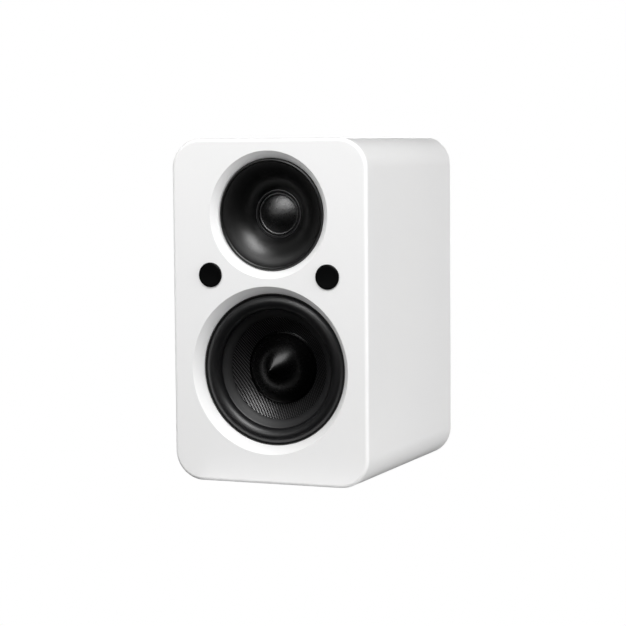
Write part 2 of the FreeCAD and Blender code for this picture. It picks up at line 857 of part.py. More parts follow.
def woofer_gasket():
    section = washer_section("woofer_seal_radius", "woofer_flange_half", "woofer_seat", SURROUND_AT)
    return turn("woofer_gasket", section, "0", WOOFER_Z)


def cone_depth(radius):
    """Depth of the cone's front face at a radius."""
    return "cone_edge_depth + (cone_edge - %s) * cone_slope" % radius


def woofer_surround():
    """Half-roll rubber ring: a clamped rim, the roll, and a lip glued on the cone."""
    top = SURROUND_AT
    skin = "surround_thick"
    lip_rear = cone_depth("lip_inner") + " - run_gap"
    edge_rear = cone_depth("(roll_inner + surround_thick)") + " - run_gap"
    edge_front = cone_depth("roll_inner") + " - run_gap - " + skin
    middle = "(roll_inner + roll_outer) / 2"
    corners = [
        ("lip_inner", lip_rear + " - " + skin),
        ("roll_inner", edge_front, middle, "roll_crown_depth"),
        ("roll_outer", top),
        ("woofer_flange_half", top),
        ("woofer_flange_half", top + " + " + skin),
        ("roll_outer - " + skin, top + " + " + skin, middle, "roll_crown_depth + " + skin),
        ("roll_inner + " + skin, edge_rear),
        ("lip_inner", lip_rear),
    ]
    return turn("woofer_surround", corners, "0", WOOFER_Z)


def woofer_cone():
    """Woven fibre cone with a short neck on the coil former."""
    edge = cone_depth("cone_edge")
    neck = cone_depth("coil_radius")
    corners = [
        ("coil_radius", neck),
        ("cone_edge", edge),
        ("cone_edge", edge + " + cone_thick"),
        ("coil_radius + cone_thick", neck + " + cone_thick"),
        ("coil_radius + cone_thick", neck + " + 3 * cone_thick"),
        ("coil_radius", neck + " + 3 * cone_thick"),
    ]
    return turn("woofer_cone", corners, "0", WOOFER_Z)


def woofer_dust_cap():
    """Pointed cap: an ogive shell glued on the cone."""
    base = CAP_BASE_AT
    out_r = "cap_base / 2 + cap_bulge * sqrt(0.5)"
    out_t = "(%s + cap_tip_depth) / 2 - cap_bulge * sqrt(0.5)" % base
    in_r = out_r + " - cap_thick"
    in_t = out_t + " + cap_thick"
    corners = [
        ("0", "cap_tip_depth"),
        ("cap_thick", "cap_tip_depth + cap_thick / 2", out_r, out_t),
        ("cap_base", base),
        ("cap_base - cap_thick", base + " + cap_thick * cone_slope", in_r, in_t),
        ("cap_thick / 2", "cap_tip_depth + 3 * cap_thick"),
        ("0", "cap_tip_depth + 3 * cap_thick"),
    ]
    return turn("woofer_dust_cap", corners, "0", WOOFER_Z)


def woofer_coil_former():
    start = NECK_AT + " + glue_gap"
    end = WINDING_MID + " + winding_length / 2 + coil_gap"
    section = washer_section(FORMER_INNER, "coil_radius", start, end)
    return turn("woofer_coil_former", section, "0", WOOFER_Z)


def woofer_voice_coil():
    start = WINDING_MID + " - winding_length / 2"
    end = WINDING_MID + " + winding_length / 2"
    section = washer_section("coil_radius", "coil_radius + winding_thick", start, end)
    return turn("woofer_voice_coil", section, "0", WOOFER_Z)


def woofer_spider():
    """Corrugated cloth disc from the coil former out to the basket's ledge."""
    inner = "(coil_radius + run_gap)"
    span = "(pot_radius - coil_radius - run_gap)"
    fall = "(%s - ledge_depth + spider_thick)" % SPIDER_INNER_AT
    front = [(inner, SPIDER_INNER_AT)]
    for step in range(1, 2 * SPIDER_WAVES):
        share = "%d / %d" % (step, 2 * SPIDER_WAVES)
        wave = "+ spider_wave" if step % 2 else "- spider_wave"
        depth = "%s - %s * %s %s" % (SPIDER_INNER_AT, fall, share, wave)
        front.append(("%s + %s * %s" % (inner, span, share), depth))
    front.append(("pot_radius", "ledge_depth - spider_thick"))
    front.append(("ledge_radius", "ledge_depth - spider_thick"))
    rear = [(radius, "%s + spider_thick" % depth) for radius, depth in reversed(front)]
    return turn("woofer_spider", front + rear, "0", WOOFER_Z)


def woofer_top_plate():
    section = washer_section(PLATE_BORE, "woofer_plate_radius", "basket_depth", WOOFER_MAGNET_AT)
    return turn("woofer_top_plate", section, "0", WOOFER_Z)


def woofer_magnet():
    hole = "woofer_magnet_hole"
    section = washer_section(hole, "woofer_magnet_radius", WOOFER_MAGNET_AT, WOOFER_YOKE_AT)
    return turn("woofer_magnet", section, "0", WOOFER_Z)


def yoke(name, pole, vent, radius, pole_at, plate_at, thick, z):
    """Back plate and pole in one piece, vented through the middle."""
    end = "%s + %s" % (plate_at, thick)
    stem = [(vent, pole_at), (pole, pole_at), (pole, plate_at)]
    corners = stem + [(radius, plate_at), (radius, end), (vent, end)]
    return turn(name, corners, "0", z)


def woofer_yoke():
    return yoke(
        "woofer_yoke",
        POLE_RADIUS,
        "pole_vent",
        "woofer_yoke_radius",
        "basket_depth",
        WOOFER_YOKE_AT,
        "woofer_yoke_thick",
        WOOFER_Z,
    )


def flange_screws(name, circle, z, flange_end, bite, seat):
    """Four screws driven from behind through a driver's flange."""
    head_at = "%s + %s" % (FRONT, flange_end)
    length = "%s - %s + %s" % (flange_end, seat, bite)
    return group([screw(x, spot, head_at, length, False) for x, spot in four_on_circle(circle, z)], name)


def woofer_terminal_strip():
    """Insulated strip with two solder tabs, on the rear of the spider ledge."""
    start = "%s + ledge_depth + basket_wall" % FRONT
    rise = "(ledge_radius - pot_radius - basket_wall / 2)"
    z = "%s - ledge_radius - basket_wall / 2" % WOOFER_Z
    strip = box("2 * tag_half_width", "tag_thick", rise, "0", start, z)
    return finish(fuse([strip] + solder_tabs("%s + tag_thick" % start, z)), "woofer_terminal_strip")


def solder_tabs(start, z):
    return [
        box("2 * tab_half", "3 * tab_half", "tag_thick / 2", sign + "tab_side", start, z + " + tag_thick")
        for sign in ("", "-")
    ]


# ---- tweeter ---------------------------------------------------------------------------


def tweeter_waveguide():
    """Moulded faceplate: a rim bead, a horn flare to the throat, and a flange behind the baffle's seat."""
    rim = "tweeter_opening - panel_gap"
    bead_mid = "(tweeter_opening - panel_gap + bead_inner) / 2"
    lean = "(bead_inner - throat_radius)"
    drop = "(throat_depth - bead_inner_depth)"
    chord = "sqrt(%s^2 + %s^2)" % (lean, drop)
    horn_r = "(bead_inner + throat_radius) / 2 - horn_bulge * %s / %s" % (drop, chord)
    horn_t = "(bead_inner_depth + throat_depth) / 2 - horn_bulge * %s / %s" % (lean, chord)
    corners = [
        ("throat_radius", "throat_depth", horn_r, horn_t),
        ("bead_inner", "bead_inner_depth", bead_mid, "bead_depth"),
        (rim, "bead_inner_depth + bead_inner_depth - bead_depth"),
        (rim, TWEETER_FLANGE_AT),
        ("tweeter_flange_radius", TWEETER_FLANGE_AT),
        ("tweeter_flange_radius", TWEETER_FLANGE_END),
        ("bead_inner", TWEETER_FLANGE_END),
        ("throat_radius + 2 * horn_wall", "throat_depth"),
        ("throat_radius + 2 * horn_wall", TWEETER_PLATE_AT),
        ("throat_radius + horn_wall", TWEETER_PLATE_AT),
        ("throat_radius + horn_wall", "throat_depth"),
    ]
    guide = turn("tweeter_waveguide", corners, "0", TWEETER_Z)
    drill(guide, tweeter_screws_at("0"), HOLE_RADIUS, TWEETER_FLANGE_AT, "tweeter_flange_thick")
    return guide


def tweeter_gasket():
    outer = "tweeter_screw_circle - 2 * screw_radius"
    section = washer_section("tweeter_opening", outer, "tweeter_seat", TWEETER_FLANGE_AT)
    return turn("tweeter_gasket", section, "0", TWEETER_Z)


def tweeter_throat_ring():
    """Clamp ring round the diaphragm, its bright lip showing in the throat."""
    inner = "throat_radius - throat_ring_width"
    outer = "throat_radius + horn_wall - glue_gap"
    lip = "throat_radius - glue_gap"
    corners = [
        (inner, "throat_depth - throat_ring_rise + throat_ring_width / 3"),
        (inner + " + throat_ring_width / 3", "throat_depth - throat_ring_rise"),
        (lip, "throat_depth - throat_ring_rise"),
        (lip, "throat_depth + glue_gap"),
        (outer, "throat_depth + glue_gap"),
        (outer, DIAPHRAGM_AT),
        (inner, DIAPHRAGM_AT),
    ]
    return turn("tweeter_throat_ring", corners, "0", TWEETER_Z)


def tweeter_dome():
    """Soft cloth dome, a thin spherical cap with a short skirt."""
    rise = "%s - dome_rise" % DIAPHRAGM_AT
    shoulder_r = "dome_radius * sqrt(0.5) * dome_fullness"
    shoulder_t = "%s - dome_rise * dome_shoulder" % DIAPHRAGM_AT
    corners = [
        ("0", rise),
        ("dome_thick", rise, shoulder_r, shoulder_t),
        ("dome_radius", DIAPHRAGM_AT),
        ("dome_radius", TWEETER_PLATE_AT),
        (TWEETER_FORMER, TWEETER_PLATE_AT),
        (TWEETER_FORMER, DIAPHRAGM_AT, shoulder_r + " - dome_thick", shoulder_t + " + dome_thick"),
        ("dome_thick", rise + " + dome_thick"),
        ("0", rise + " + dome_thick"),
    ]
    return turn("tweeter_dome", corners, "0", TWEETER_Z)


def tweeter_surround():
    """Small half roll between the dome's skirt and its clamped rim."""
    inner = "dome_radius + run_gap"
    outer = "throat_radius - throat_ring_width"
    middle = "(dome_radius + throat_radius - throat_ring_width) / 2"
    crown = "%s - (throat_radius - throat_ring_width - dome_radius) / 2" % DIAPHRAGM_AT
    rim = "throat_radius"
    corners = [
        (inner, DIAPHRAGM_AT, middle, crown),
        (outer, DIAPHRAGM_AT),
        (rim, DIAPHRAGM_AT),
        (rim, TWEETER_PLATE_AT),
        (outer + " - dome_thick", TWEETER_PLATE_AT, middle, crown + " + dome_thick"),
        (inner + " + dome_thick", TWEETER_PLATE_AT),
        (inner, TWEETER_PLATE_AT),
    ]
    return turn("tweeter_surround", corners, "0", TWEETER_Z)


def tweeter_coil_former():
    section = washer_section(
        TWEETER_FORMER, "dome_radius", TWEETER_PLATE_AT, TWEETER_PLATE_AT + " + tweeter_coil_length"
    )
    return turn("tweeter_coil_former", section, "0", TWEETER_Z)


def tweeter_voice_coil():
    middle = TWEETER_PLATE_AT + " + tweeter_plate_thick / 2"
    start = middle + " - tweeter_winding_length / 2"
    end = middle + " + tweeter_winding_length / 2"
    section = washer_section("dome_radius", "dome_radius + dome_thick", start, end)
    return turn("tweeter_voice_coil", section, "0", TWEETER_Z)


def tweeter_top_plate():
    section = washer_section(TWEETER_BORE, "tweeter_plate_radius", TWEETER_PLATE_AT, TWEETER_MAGNET_AT)
    return turn("tweeter_top_plate", section, "0", TWEETER_Z)


def tweeter_magnet():
    hole = "tweeter_magnet_hole"
    section = washer_section(hole, "tweeter_magnet_radius", TWEETER_MAGNET_AT, TWEETER_YOKE_AT)
    return turn("tweeter_magnet", section, "0", TWEETER_Z)


def tweeter_yoke():
    return yoke(
        "tweeter_yoke",
        TWEETER_FORMER + " - coil_gap",
        "pole_vent",
        "tweeter_yoke_radius",
        TWEETER_PLATE_AT,
        TWEETER_YOKE_AT,
        "tweeter_yoke_thick",
        TWEETER_Z,
    )


def tweeter_terminal_strip():
    """Insulated strip with two solder tabs, on the rear of the waveguide's flange."""
    start = "%s + %s" % (FRONT, TWEETER_FLANGE_END)
    z = "%s - tweeter_flange_radius + tag_thick" % TWEETER_Z
    strip = box("2 * tag_half_width", "tag_thick", "3 * tag_thick", "0", start, z)
    return finish(fuse([strip] + solder_tabs("%s + tag_thick" % start, z)), "tweeter_terminal_strip")


# ---- grille catches --------------------------------------------------------------------


def grille_catch(name, sign):
    """Low round stud that a grille cloth frame clings to: a cap on a hollow spigot."""
    proud = "-catch_proud"
    well = "catch_magnet_radius + catch_gap"
    corners = [
        ("0", proud),
        ("catch_radius - catch_edge", proud),
        ("catch_radius", "-catch_proud + catch_edge"),
        ("catch_radius", "0"),
        ("catch_spigot", "0"),
        ("catch_spigot", "catch_length"),
        (well, "catch_length"),
        (well, "catch_length - catch_magnet_thick"),
        ("0", "catch_length - catch_magnet_thick"),
    ]
    return turn(name, corners, sign + "catch_side", "foot_height + catch_height")


def catch_magnets():
    """The two magnets in the catches' spigots."""
    start = "%s + catch_length - catch_magnet_thick" % FRONT
    z = "foot_height + catch_height"
    discs = []
    for sign in ("", "-"):
        x = sign + "catch_side"
        discs.append(cylinder("catch_magnet_radius", "catch_magnet_thick", x, start, z))
    return group(discs, "catch_magnets")


# ---- port and terminals ----------------------------------------------------------------


def port_tube():
    """Bass reflex tube through the rear panel, flared at its mouth."""
    rear = "cabinet_depth"
    outer = "port_bore + port_wall"
    start = "cabinet_depth - port_length"
    flare = "port_bore + port_flare"
    turn_in = "port_flare * (1 - sqrt(0.5))"
    corners = [
        ("port_bore", start),
        (outer, start),
        (outer, rear + " - port_flange_thick"),
        ("port_flange_radius", rear + " - port_flange_thick"),
        ("port_flange_radius", rear),
        (flare, rear, "port_bore + " + turn_in, rear + " - " + turn_in),
        ("port_bore", rear + " - port_flare"),
    ]
    return turn("port_tube", corners, "0", PORT_Z)


def cup_flange_outline(gap):
    half = "cup_half_width + " + gap
    rise = "(cup_half_height + %s)" % gap
    return rounded(half, "cup_height - " + rise, "cup_height + " + rise, "cup_corner")


def cup_screws_at(z):
    return [(sx + "cup_screw_side", "%s %s cup_screw_rise" % (z, sz)) for sx in ("", "-") for sz in "+-"]


def posts_at(z):
    return [("post_side", z), ("-post_side", z)]


def terminal_cup():
    """Recessed plastic cup that carries both binding posts."""
    body = new_body("terminal_cup")
    flange = front_sketch(body, "cabinet_depth - cup_flange_thick")
    outline(flange, cup_flange_outline("0"))
    pad(body, flange, "cup_flange_thick")
    outside = front_sketch(body, CUP_FLOOR_AT + " - cup_floor")
    half = "cup_recess_half_width + cup_wall"
    rise = "(cup_recess_half_height + cup_wall)"
    corner = "(cup_corner - cup_wall / 2)"
    outline(outside, rounded(half, "cup_height - " + rise, "cup_height + " + rise, corner))
    pad(body, outside, "cup_recess_depth + cup_floor - cup_flange_thick / 2")
    inside = front_sketch(body, CUP_FLOOR_AT)
    low = "cup_height - cup_recess_half_height"
    high = "cup_height + cup_recess_half_height"
    outline(inside, rounded("cup_recess_half_width", low, high, "(cup_corner / 2)"))
    pocket(body, inside, "2 * cup_recess_depth")
    hole_start = CUP_FLOOR_AT + " - 2 * cup_floor"
    drill(body, posts_at("cup_height"), "collar_spigot + run_gap", hole_start, "3 * cup_floor")
    holes = cup_screws_at("cup_height")
    drill(body, holes, HOLE_RADIUS, "cabinet_depth - cup_flange_thick", "cup_flange_thick")
    depth = "screw_head_height + screw_gap"
    drill(body, holes, "screw_head + screw_gap", "cabinet_depth - (%s)" % depth, depth)
    place(body, "0", FRONT, BASE)
    return finish(body, "terminal_cup")


def cup_screws():
    head_at = "%s + cabinet_depth - screw_head_height - screw_gap" % FRONT
    solids = [
        screw(x, z, head_at, "cup_screw_length - screw_head_height - screw_gap", False)
        for x, z in cup_screws_at(CUP_Z)
    ]
    return group(solids, "cup_screws")


def post_collar(sign, pole):
    """Insulating shoulder between the cup's floor and the clamping nut."""
    inner = "post_radius"
    corners = [
        (inner, CUP_FLOOR_AT + " - cup_floor"),
        ("collar_spigot", CUP_FLOOR_AT + " - cup_floor"),
        ("collar_spigot", CUP_FLOOR_AT),
        ("collar_radius", CUP_FLOOR_AT),
        ("collar_radius", WASHER_AT),
        (inner, WASHER_AT),
    ]
    return turn("post_collar_" + pole, corners, sign + "post_side", CUP_Z)


def post_stud(sign, pole):
    """Threaded metal stud, bored at its outer end for a 4 mm plug."""
    start = "(%s - post_length)" % POST_END
    corners = [
        ("0", start),
        ("post_radius", start),
        ("post_radius", POST_END),
        ("post_bore", POST_END),
        ("post_bore", POST_END + " - post_bore_depth"),
        ("0", POST_END + " - post_bore_depth"),
    ]
    return turn("post_stud_" + pole, corners, sign + "post_side", CUP_Z)


def post_washer(sign, pole):
    """Clamp washer that rides out with the nut without turning."""
    end = WASHER_AT + " + washer_thick"
    section = washer_section("post_radius + run_gap", "washer_radius", WASHER_AT, end)
    return turn("post_washer_" + pole, section, sign + "post_side", CUP_Z)


def post_nut(sign, pole):
    """Fluted thumb nut on the stud."""
    start = "(%s + washer_thick)" % WASHER_AT
    edge = "nut_flute"
    end = "%s + nut_length" % start
    corners = [
        ("post_radius + run_gap", start),
        ("nut_radius", start),
        ("nut_radius", end + " - " + edge),
        ("nut_radius - " + edge, end),
        ("post_radius + run_gap", end),
    ]
    nut = turn("post_nut_" + pole, corners, sign + "post_side", CUP_Z)
    sketch = front_sketch(nut, start)
    circles(sketch, [("0", "nut_radius + nut_flute / 3")], "nut_flute")
    flute = pocket(nut, sketch, "nut_length - 3 * nut_flute")
    repeat_about_axis(nut, flute, NUT_FLUTES)
    return nut


def post_hex_nuts():
    """Hexagon nuts that hold both posts inside the cup."""
    solids = []
    for sign in ("", "-"):
        prism = doc.addObject("Part::Prism", "hexagon")
        prism.Polygon = HEX_SIDES
        bind(prism, "Circumradius", "hex_radius")
        bind(prism, "Height", "hex_thick")
        start = "%s + %s - cup_floor - hex_thick" % (FRONT, CUP_FLOOR_AT)
        place(prism, sign + "post_side", start, CUP_Z, TURN_TO_DEPTH)
        bore = cylinder("post_radius", "hex_thick", sign + "post_side", start, CUP_Z)
        solids.append(cut(prism, bore))
    return group(solids, "post_hex_nuts")


# ---- crossover -------------------------------------------------------------------------


def crossover_board():
    start = "%s + %s" % (FRONT, BOARD_AT)
    width = "2 * board_half_width"
    underside = "%s - board_thick" % BOARD_TOP
    slab = box(width, "board_length", "board_thick", "0", start, underside)
    holes = [
        cylinder(HOLE_RADIUS, "board_thick", x, "%s + %s" % (FRONT, depth), underside, UPRIGHT)
        for x, depth in board_screws_at()
    ]
    return finish(cut(slab, fuse(holes)), "crossover_board")


def board_standoffs():
    floor = "foot_height + wall_thick"
    solids = []
    for x, depth in board_screws_at():
        y = "%s + %s" % (FRONT, depth)
        post = cylinder("standoff_radius", "standoff_height", x, y, floor, UPRIGHT)
        bore = cylinder(HOLE_RADIUS, "standoff_height", x, y, floor, UPRIGHT)
        solids.append(cut(post, bore))
    return group(solids, "board_standoffs")


def board_screws():
    solids = []
    for x, depth in board_screws_at():
        y = "%s + %s" % (FRONT, depth)
        bottom = "%s - board_screw_length" % BOARD_TOP
        shank = cylinder("screw_radius", "board_screw_length", x, y, bottom, UPRIGHT)
        head = cylinder("screw_head", "screw_head_height", x, y, BOARD_TOP, UPRIGHT)
        solids.append(fuse([shank, head]))
    return group(solids, "board_screws")


def air_coil(name, radius, rise, x, depth):
    """Air-cored inductor standing on the board."""
    y = "%s + %s" % (FRONT, depth)
    outside = cylinder(radius, rise, x, y, BOARD_TOP, UPRIGHT)
    inside = cylinder("%s / 2" % radius, rise, x, y, BOARD_TOP, UPRIGHT)
    return finish(cut(outside, inside), name)


def lying_capacitor(name, radius, length, start_x, depth):
    y = "%s + %s" % (FRONT, depth)
    can = cylinder(radius, length, start_x, y, "%s + %s" % (BOARD_TOP, radius), TURN_TO_SIDE)
    return finish(can, name)


def attenuator_resistor():
    y = "%s + %s + board_screw_inset + screw_head + part_gap" % (FRONT, BOARD_AT)
    x = "board_half_width - resistor_length / 2 - tag_thick"
    body = box("resistor_length", "resistor_side", "resistor_side", x, y, BOARD_TOP)
    return finish(body, "attenuator_resistor")


def lead_pair(name, routes):
    """Two insulated wires in one node."""
    solids = []
    for route in routes:
        wire = doc.addObject("Part::Feature", "lead")
        wire.Shape = lead(route, value("lead_radius"))
        solids.append(wire)
    return group(solids, name)


def at_depth(x, depth, z):
    return (x, "%s + %s" % (FRONT, depth), z)


def input_leads():
    """From the posts' tails down to the board."""
    tail = "(%s - post_length)" % POST_END
    input_row = BOARD_AT + " + input_pad_row"
    routes = []
    for sign in ("", "-"):
        routes.append(
            [
                at_depth(sign + "post_side", tail, CUP_Z),
                at_depth(sign + "post_side", tail + " - lead_straight", CUP_Z),
                at_depth(sign + "input_pad_side", input_row, CUP_Z + " - input_drop"),
                at_depth(sign + "input_pad_side", input_row, BOARD_TOP),
            ]
        )
    return lead_pair("input_leads", routes)


def woofer_leads():
    """From the board through the brace to the woofer's tabs."""
    tab_end = "ledge_depth + basket_wall + tag_thick + 3 * tab_half"
    tab_z = "(%s - ledge_radius - basket_wall / 2 + tag_thick * 1.25)" % WOOFER_Z
    row = BOARD_AT + " + woofer_pad_row"
    halfway = "(%s + %s) / 2" % (tab_end, row)
    routes = []
    for side, tab in (("-woofer_pad_far", "-tab_side"), ("-woofer_pad_near", "tab_side")):
        routes.append(
            [
                at_depth(side, row, BOARD_TOP),
                at_depth(side, row, tab_z),
                at_depth(tab, halfway, tab_z),
                at_depth(tab, tab_end, tab_z),
            ]
        )
    return lead_pair("woofer_leads", routes)


def tweeter_leads():
    """From the board up the side and over the woofer to the tweeter's tabs."""
    tab_end = "%s + tag_thick + 3 * tab_half" % TWEETER_FLANGE_END
    tab_z = "(%s - tweeter_flange_radius + tag_thick * 2.25)" % TWEETER_Z
    near_row = BOARD_AT + " + tweeter_pad_near"
    far_row = BOARD_AT + " + tweeter_pad_far"
    edge = "board_half_width - lead_edge"
    tuck_z = "%s - lead_dip + " % tab_z
    routes = []
    for row, offset, tab in ((near_row, "0", "tab_side"), (far_row, "lead_spacing", "-tab_side")):
        routes.append(
            [
                at_depth(edge, row, BOARD_TOP),
                at_depth(edge, row, "%s + lead_rise + %s" % (BOARD_TOP, offset)),
                at_depth(edge + " - lead_tuck", BRACE_AT + " - lead_turn", tuck_z + offset),
                at_depth(tab, tab_end + " + lead_run", tab_z),
                at_depth(tab, tab_end, tab_z),
            ]
        )
    return lead_pair("tweeter_leads", routes)


# ---- assembly --------------------------------------------------------------------------


def build_cabinet():
    front_baffle()
    cabinet_shell()
    rear_panel()
    rear_panel_seal()
    rear_panel_screws()
    window_brace()
    damping_lining()
    rubber_feet()


def build_woofer():
    woofer_frame()
    woofer_gasket()
    woofer_surround()
    woofer_cone()
    woofer_dust_cap()
    woofer_coil_former()
    woofer_voice_coil()
    woofer_spider()
    woofer_top_plate()
    woofer_magnet()
    woofer_yoke()
    woofer_terminal_strip()
    flange_screws(
        "woofer_screws",
        "woofer_screw_circle",
        WOOFER_Z,
        WOOFER_FLANGE_END,
        "woofer_screw_bite",
        "woofer_seat",
    )


def build_tweeter():
    tweeter_waveguide()
    tweeter_gasket()
    tweeter_throat_ring()
    tweeter_dome()
    tweeter_surround()
    tweeter_coil_former()
    tweeter_voice_coil()
    tweeter_top_plate()
    tweeter_magnet()
    tweeter_yoke()
    tweeter_terminal_strip()
    flange_screws(
        "tweeter_screws",
        "tweeter_screw_circle",
        TWEETER_Z,
        TWEETER_FLANGE_END,
        "tweeter_screw_bite",
        "tweeter_seat",
    )


def build_front_and_rear_fittings():
    grille_catch("grille_catch_right", "")
    grille_catch("grille_catch_left", "-")
    catch_magnets()
    port_tube()
    terminal_cup()
    cup_screws()
    for sign, pole in (("", "positive"), ("-", "negative")):
        post_collar(sign, pole)
        post_stud(sign, pole)
        post_washer(sign, pole)
        post_nut(sign, pole)
    post_hex_nuts()


def build_crossover():
    crossover_board()
    board_standoffs()
    board_screws()
    low_row = BOARD_AT + " + board_length / 2"
    high_row = BOARD_AT + " + high_coil_radius + part_gap"
    low_side = "-board_half_width / 2"
    air_coil("low_pass_coil", "low_coil_radius", "low_coil_height", low_side, low_row)
    air_coil("high_pass_coil", "high_coil_radius", "high_coil_height", "high_coil_side", high_row)
    film_row = BOARD_AT + " + film_row"
    can_row = BOARD_AT + " + can_row"
    lying_capacitor("high_pass_capacitor", "film_radius", "film_length", "film_side", film_row)
    lying_capacitor("low_pass_capacitor", "can_radius", "can_length", "can_side", can_row)
    attenuator_resistor()
    input_leads()
    woofer_leads()
    tweeter_leads()


def check_everything():
    """Stop if any object failed or any piece is not a valid solid."""
    for item in doc.Objects:
        if "Invalid" in item.State or "Error" in item.State:
            raise RuntimeError("%s (%s) did not build: %s" % (item.Name, item.Label, item.State))
    for piece in pieces:
        if piece.Shape.isNull() or not piece.Shape.isValid() or not piece.Shape.Solids:
            raise RuntimeError("%s is not a valid solid" % piece.Label)


build_cabinet()
build_woofer()
build_tweeter()
build_front_and_rear_fittings()
build_crossover()
doc.recompute()
check_everything()
os.makedirs("parts", exist_ok=True)
for piece in pieces:
    piece.Shape.exportStep("parts/%s.step" % piece.Label)
    print("%-24s %2d solid(s) %10.1f mm3" % (piece.Label, len(piece.Shape.Solids), piece.Shape.Volume))
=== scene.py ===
# %% [markdown]
# # A two-way bookshelf speaker
# The CAD model gives every piece its size and place. Here each piece that can be seen gets the
# shape and finish of the real thing: a lacquered cabinet without a joint line, two turned drivers,
# and the rear with its port, its terminal cup and its binding posts. Everything is in metres, with
# +Z up and the front facing -Y.

# %% Load the frame
import json
import math
import bpy
from mathutils import Matrix, Vector


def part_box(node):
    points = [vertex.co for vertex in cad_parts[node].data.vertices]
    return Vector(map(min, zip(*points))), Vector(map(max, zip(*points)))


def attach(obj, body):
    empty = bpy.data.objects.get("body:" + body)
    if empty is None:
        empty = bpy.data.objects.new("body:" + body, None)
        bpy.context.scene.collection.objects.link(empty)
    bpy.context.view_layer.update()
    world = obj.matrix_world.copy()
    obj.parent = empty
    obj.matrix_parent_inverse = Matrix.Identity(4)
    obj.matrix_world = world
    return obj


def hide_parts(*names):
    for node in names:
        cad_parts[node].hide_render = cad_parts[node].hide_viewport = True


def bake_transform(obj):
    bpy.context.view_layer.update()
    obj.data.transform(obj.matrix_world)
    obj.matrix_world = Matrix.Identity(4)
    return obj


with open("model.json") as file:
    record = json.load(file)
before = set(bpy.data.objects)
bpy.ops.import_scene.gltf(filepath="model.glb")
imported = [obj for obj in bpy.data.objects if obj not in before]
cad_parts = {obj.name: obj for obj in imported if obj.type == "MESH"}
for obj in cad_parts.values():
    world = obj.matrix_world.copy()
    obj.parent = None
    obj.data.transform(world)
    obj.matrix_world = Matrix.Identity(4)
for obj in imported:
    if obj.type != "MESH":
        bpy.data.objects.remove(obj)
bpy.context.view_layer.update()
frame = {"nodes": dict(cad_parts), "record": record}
nodes = frame["nodes"]
print("the CAD model has", len(nodes), "nodes")

# %% [markdown]
# ## Places taken from the frame
# A driver is round about an axis that runs into the depth, so its pieces are described by a radius
# and a depth behind the front plane. The axis of each driver is the middle of one of its CAD nodes.

# %% Axes and planes
MM = 0.001


def middle(node):
    low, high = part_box(node)
    return (low + high) / 2


cabinet_low, cabinet_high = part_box("front_baffle")
_, shell_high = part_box("cabinet_shell")
FRONT = cabinet_low.y
REAR = shell_high.y
CABINET_LOW = Vector((cabinet_low.x, FRONT, cabinet_low.z))
CABINET_HIGH = Vector((cabinet_high.x, REAR, cabinet_high.z))
WOOFER = Vector((0, FRONT, middle("woofer_cone").z))
TWEETER = Vector((0, FRONT, middle("tweeter_dome").z))
PORT = Vector((0, FRONT, middle("port_tube").z))
CUP = Vector((0, FRONT, middle("terminal_cup").z))
DEPTH = REAR - FRONT
print("front plane", round(FRONT, 4), "rear plane", round(REAR, 4), "woofer axis", tuple(WOOFER))

# %% [markdown]
# ## Camera
# The camera stands to the right of the front and a little above it, far off with a long lens, so
# that upright edges stay almost parallel. It is placed first, because it doesn't depend on anything.

# %% Camera
CAMERA_YAW = math.radians(22.41)
CAMERA_PITCH = math.radians(4.75)
CAMERA_ROLL = math.radians(-0.455)
CAMERA_LENS = 121.2
CAMERA_DISTANCE = 1.3951
CAMERA_SIDE = 0.0294
CAMERA_RISE = -0.0004
SENSOR_WIDTH = 36
CABINET_TALL = CABINET_HIGH.z - CABINET_LOW.z


def place_camera():
    forward = Vector((
        -math.sin(CAMERA_YAW) * math.cos(CAMERA_PITCH),
        math.cos(CAMERA_YAW) * math.cos(CAMERA_PITCH),
        -math.sin(CAMERA_PITCH),
    ))
    level = Vector((math.cos(CAMERA_YAW), math.sin(CAMERA_YAW), 0))
    upward = level.cross(forward)
    right = level * math.cos(CAMERA_ROLL) + upward * math.sin(CAMERA_ROLL)
    up = upward * math.cos(CAMERA_ROLL) - level * math.sin(CAMERA_ROLL)
    target = Vector((0, FRONT, CABINET_LOW.z + CABINET_TALL / 2))
    spot = target - forward * CAMERA_DISTANCE + right * CAMERA_SIDE + up * CAMERA_RISE
    camera = bpy.data.objects.new("camera", bpy.data.cameras.new("camera"))
    bpy.context.scene.collection.objects.link(camera)
    turn = Matrix((right, up, -forward)).transposed()
    camera.matrix_world = Matrix.Translation(spot) @ turn.to_4x4()
    camera.data.lens = CAMERA_LENS
    camera.data.sensor_width = SENSOR_WIDTH
    bpy.context.scene.camera = camera
    return camera


camera = place_camera()
print("camera at", tuple(round(part, 3) for part in camera.matrix_world.translation))

# %% [markdown]
# ## Helpers for modelling
# Most pieces of a speaker are turned: a half section swept once round an axis. By hand one merges a
# new plane to a single point, extrudes that point along the section, and spins the line. The helper
# does exactly that. Round stretches of a section come from three points on an arc.

# %% Selecting and finishing
SAME_SPOT = 1e-6


def nothing_selected():
    if bpy.context.object and bpy.context.object.mode != "OBJECT":
        bpy.ops.object.mode_set(mode="OBJECT")
    bpy.ops.object.select_all(action="DESELECT")


def only(piece):
    nothing_selected()
    piece.select_set(True)
    bpy.context.view_layer.objects.active = piece


def settle(piece, angle=30):
    """Put the piece's place into its mesh and smooth it where faces meet gently."""
    only(piece)
    bpy.ops.object.transform_apply(location=True, rotation=True, scale=True)
    bpy.ops.object.shade_smooth_by_angle(angle=math.radians(angle))
    return piece


def apply_modifier(piece, kind, **settings):
    only(piece)
    modifier = piece.modifiers.new(kind.lower(), kind)
    for name, setting in settings.items():
        setattr(modifier, name, setting)
    bpy.ops.object.modifier_apply(modifier=modifier.name)
    return piece


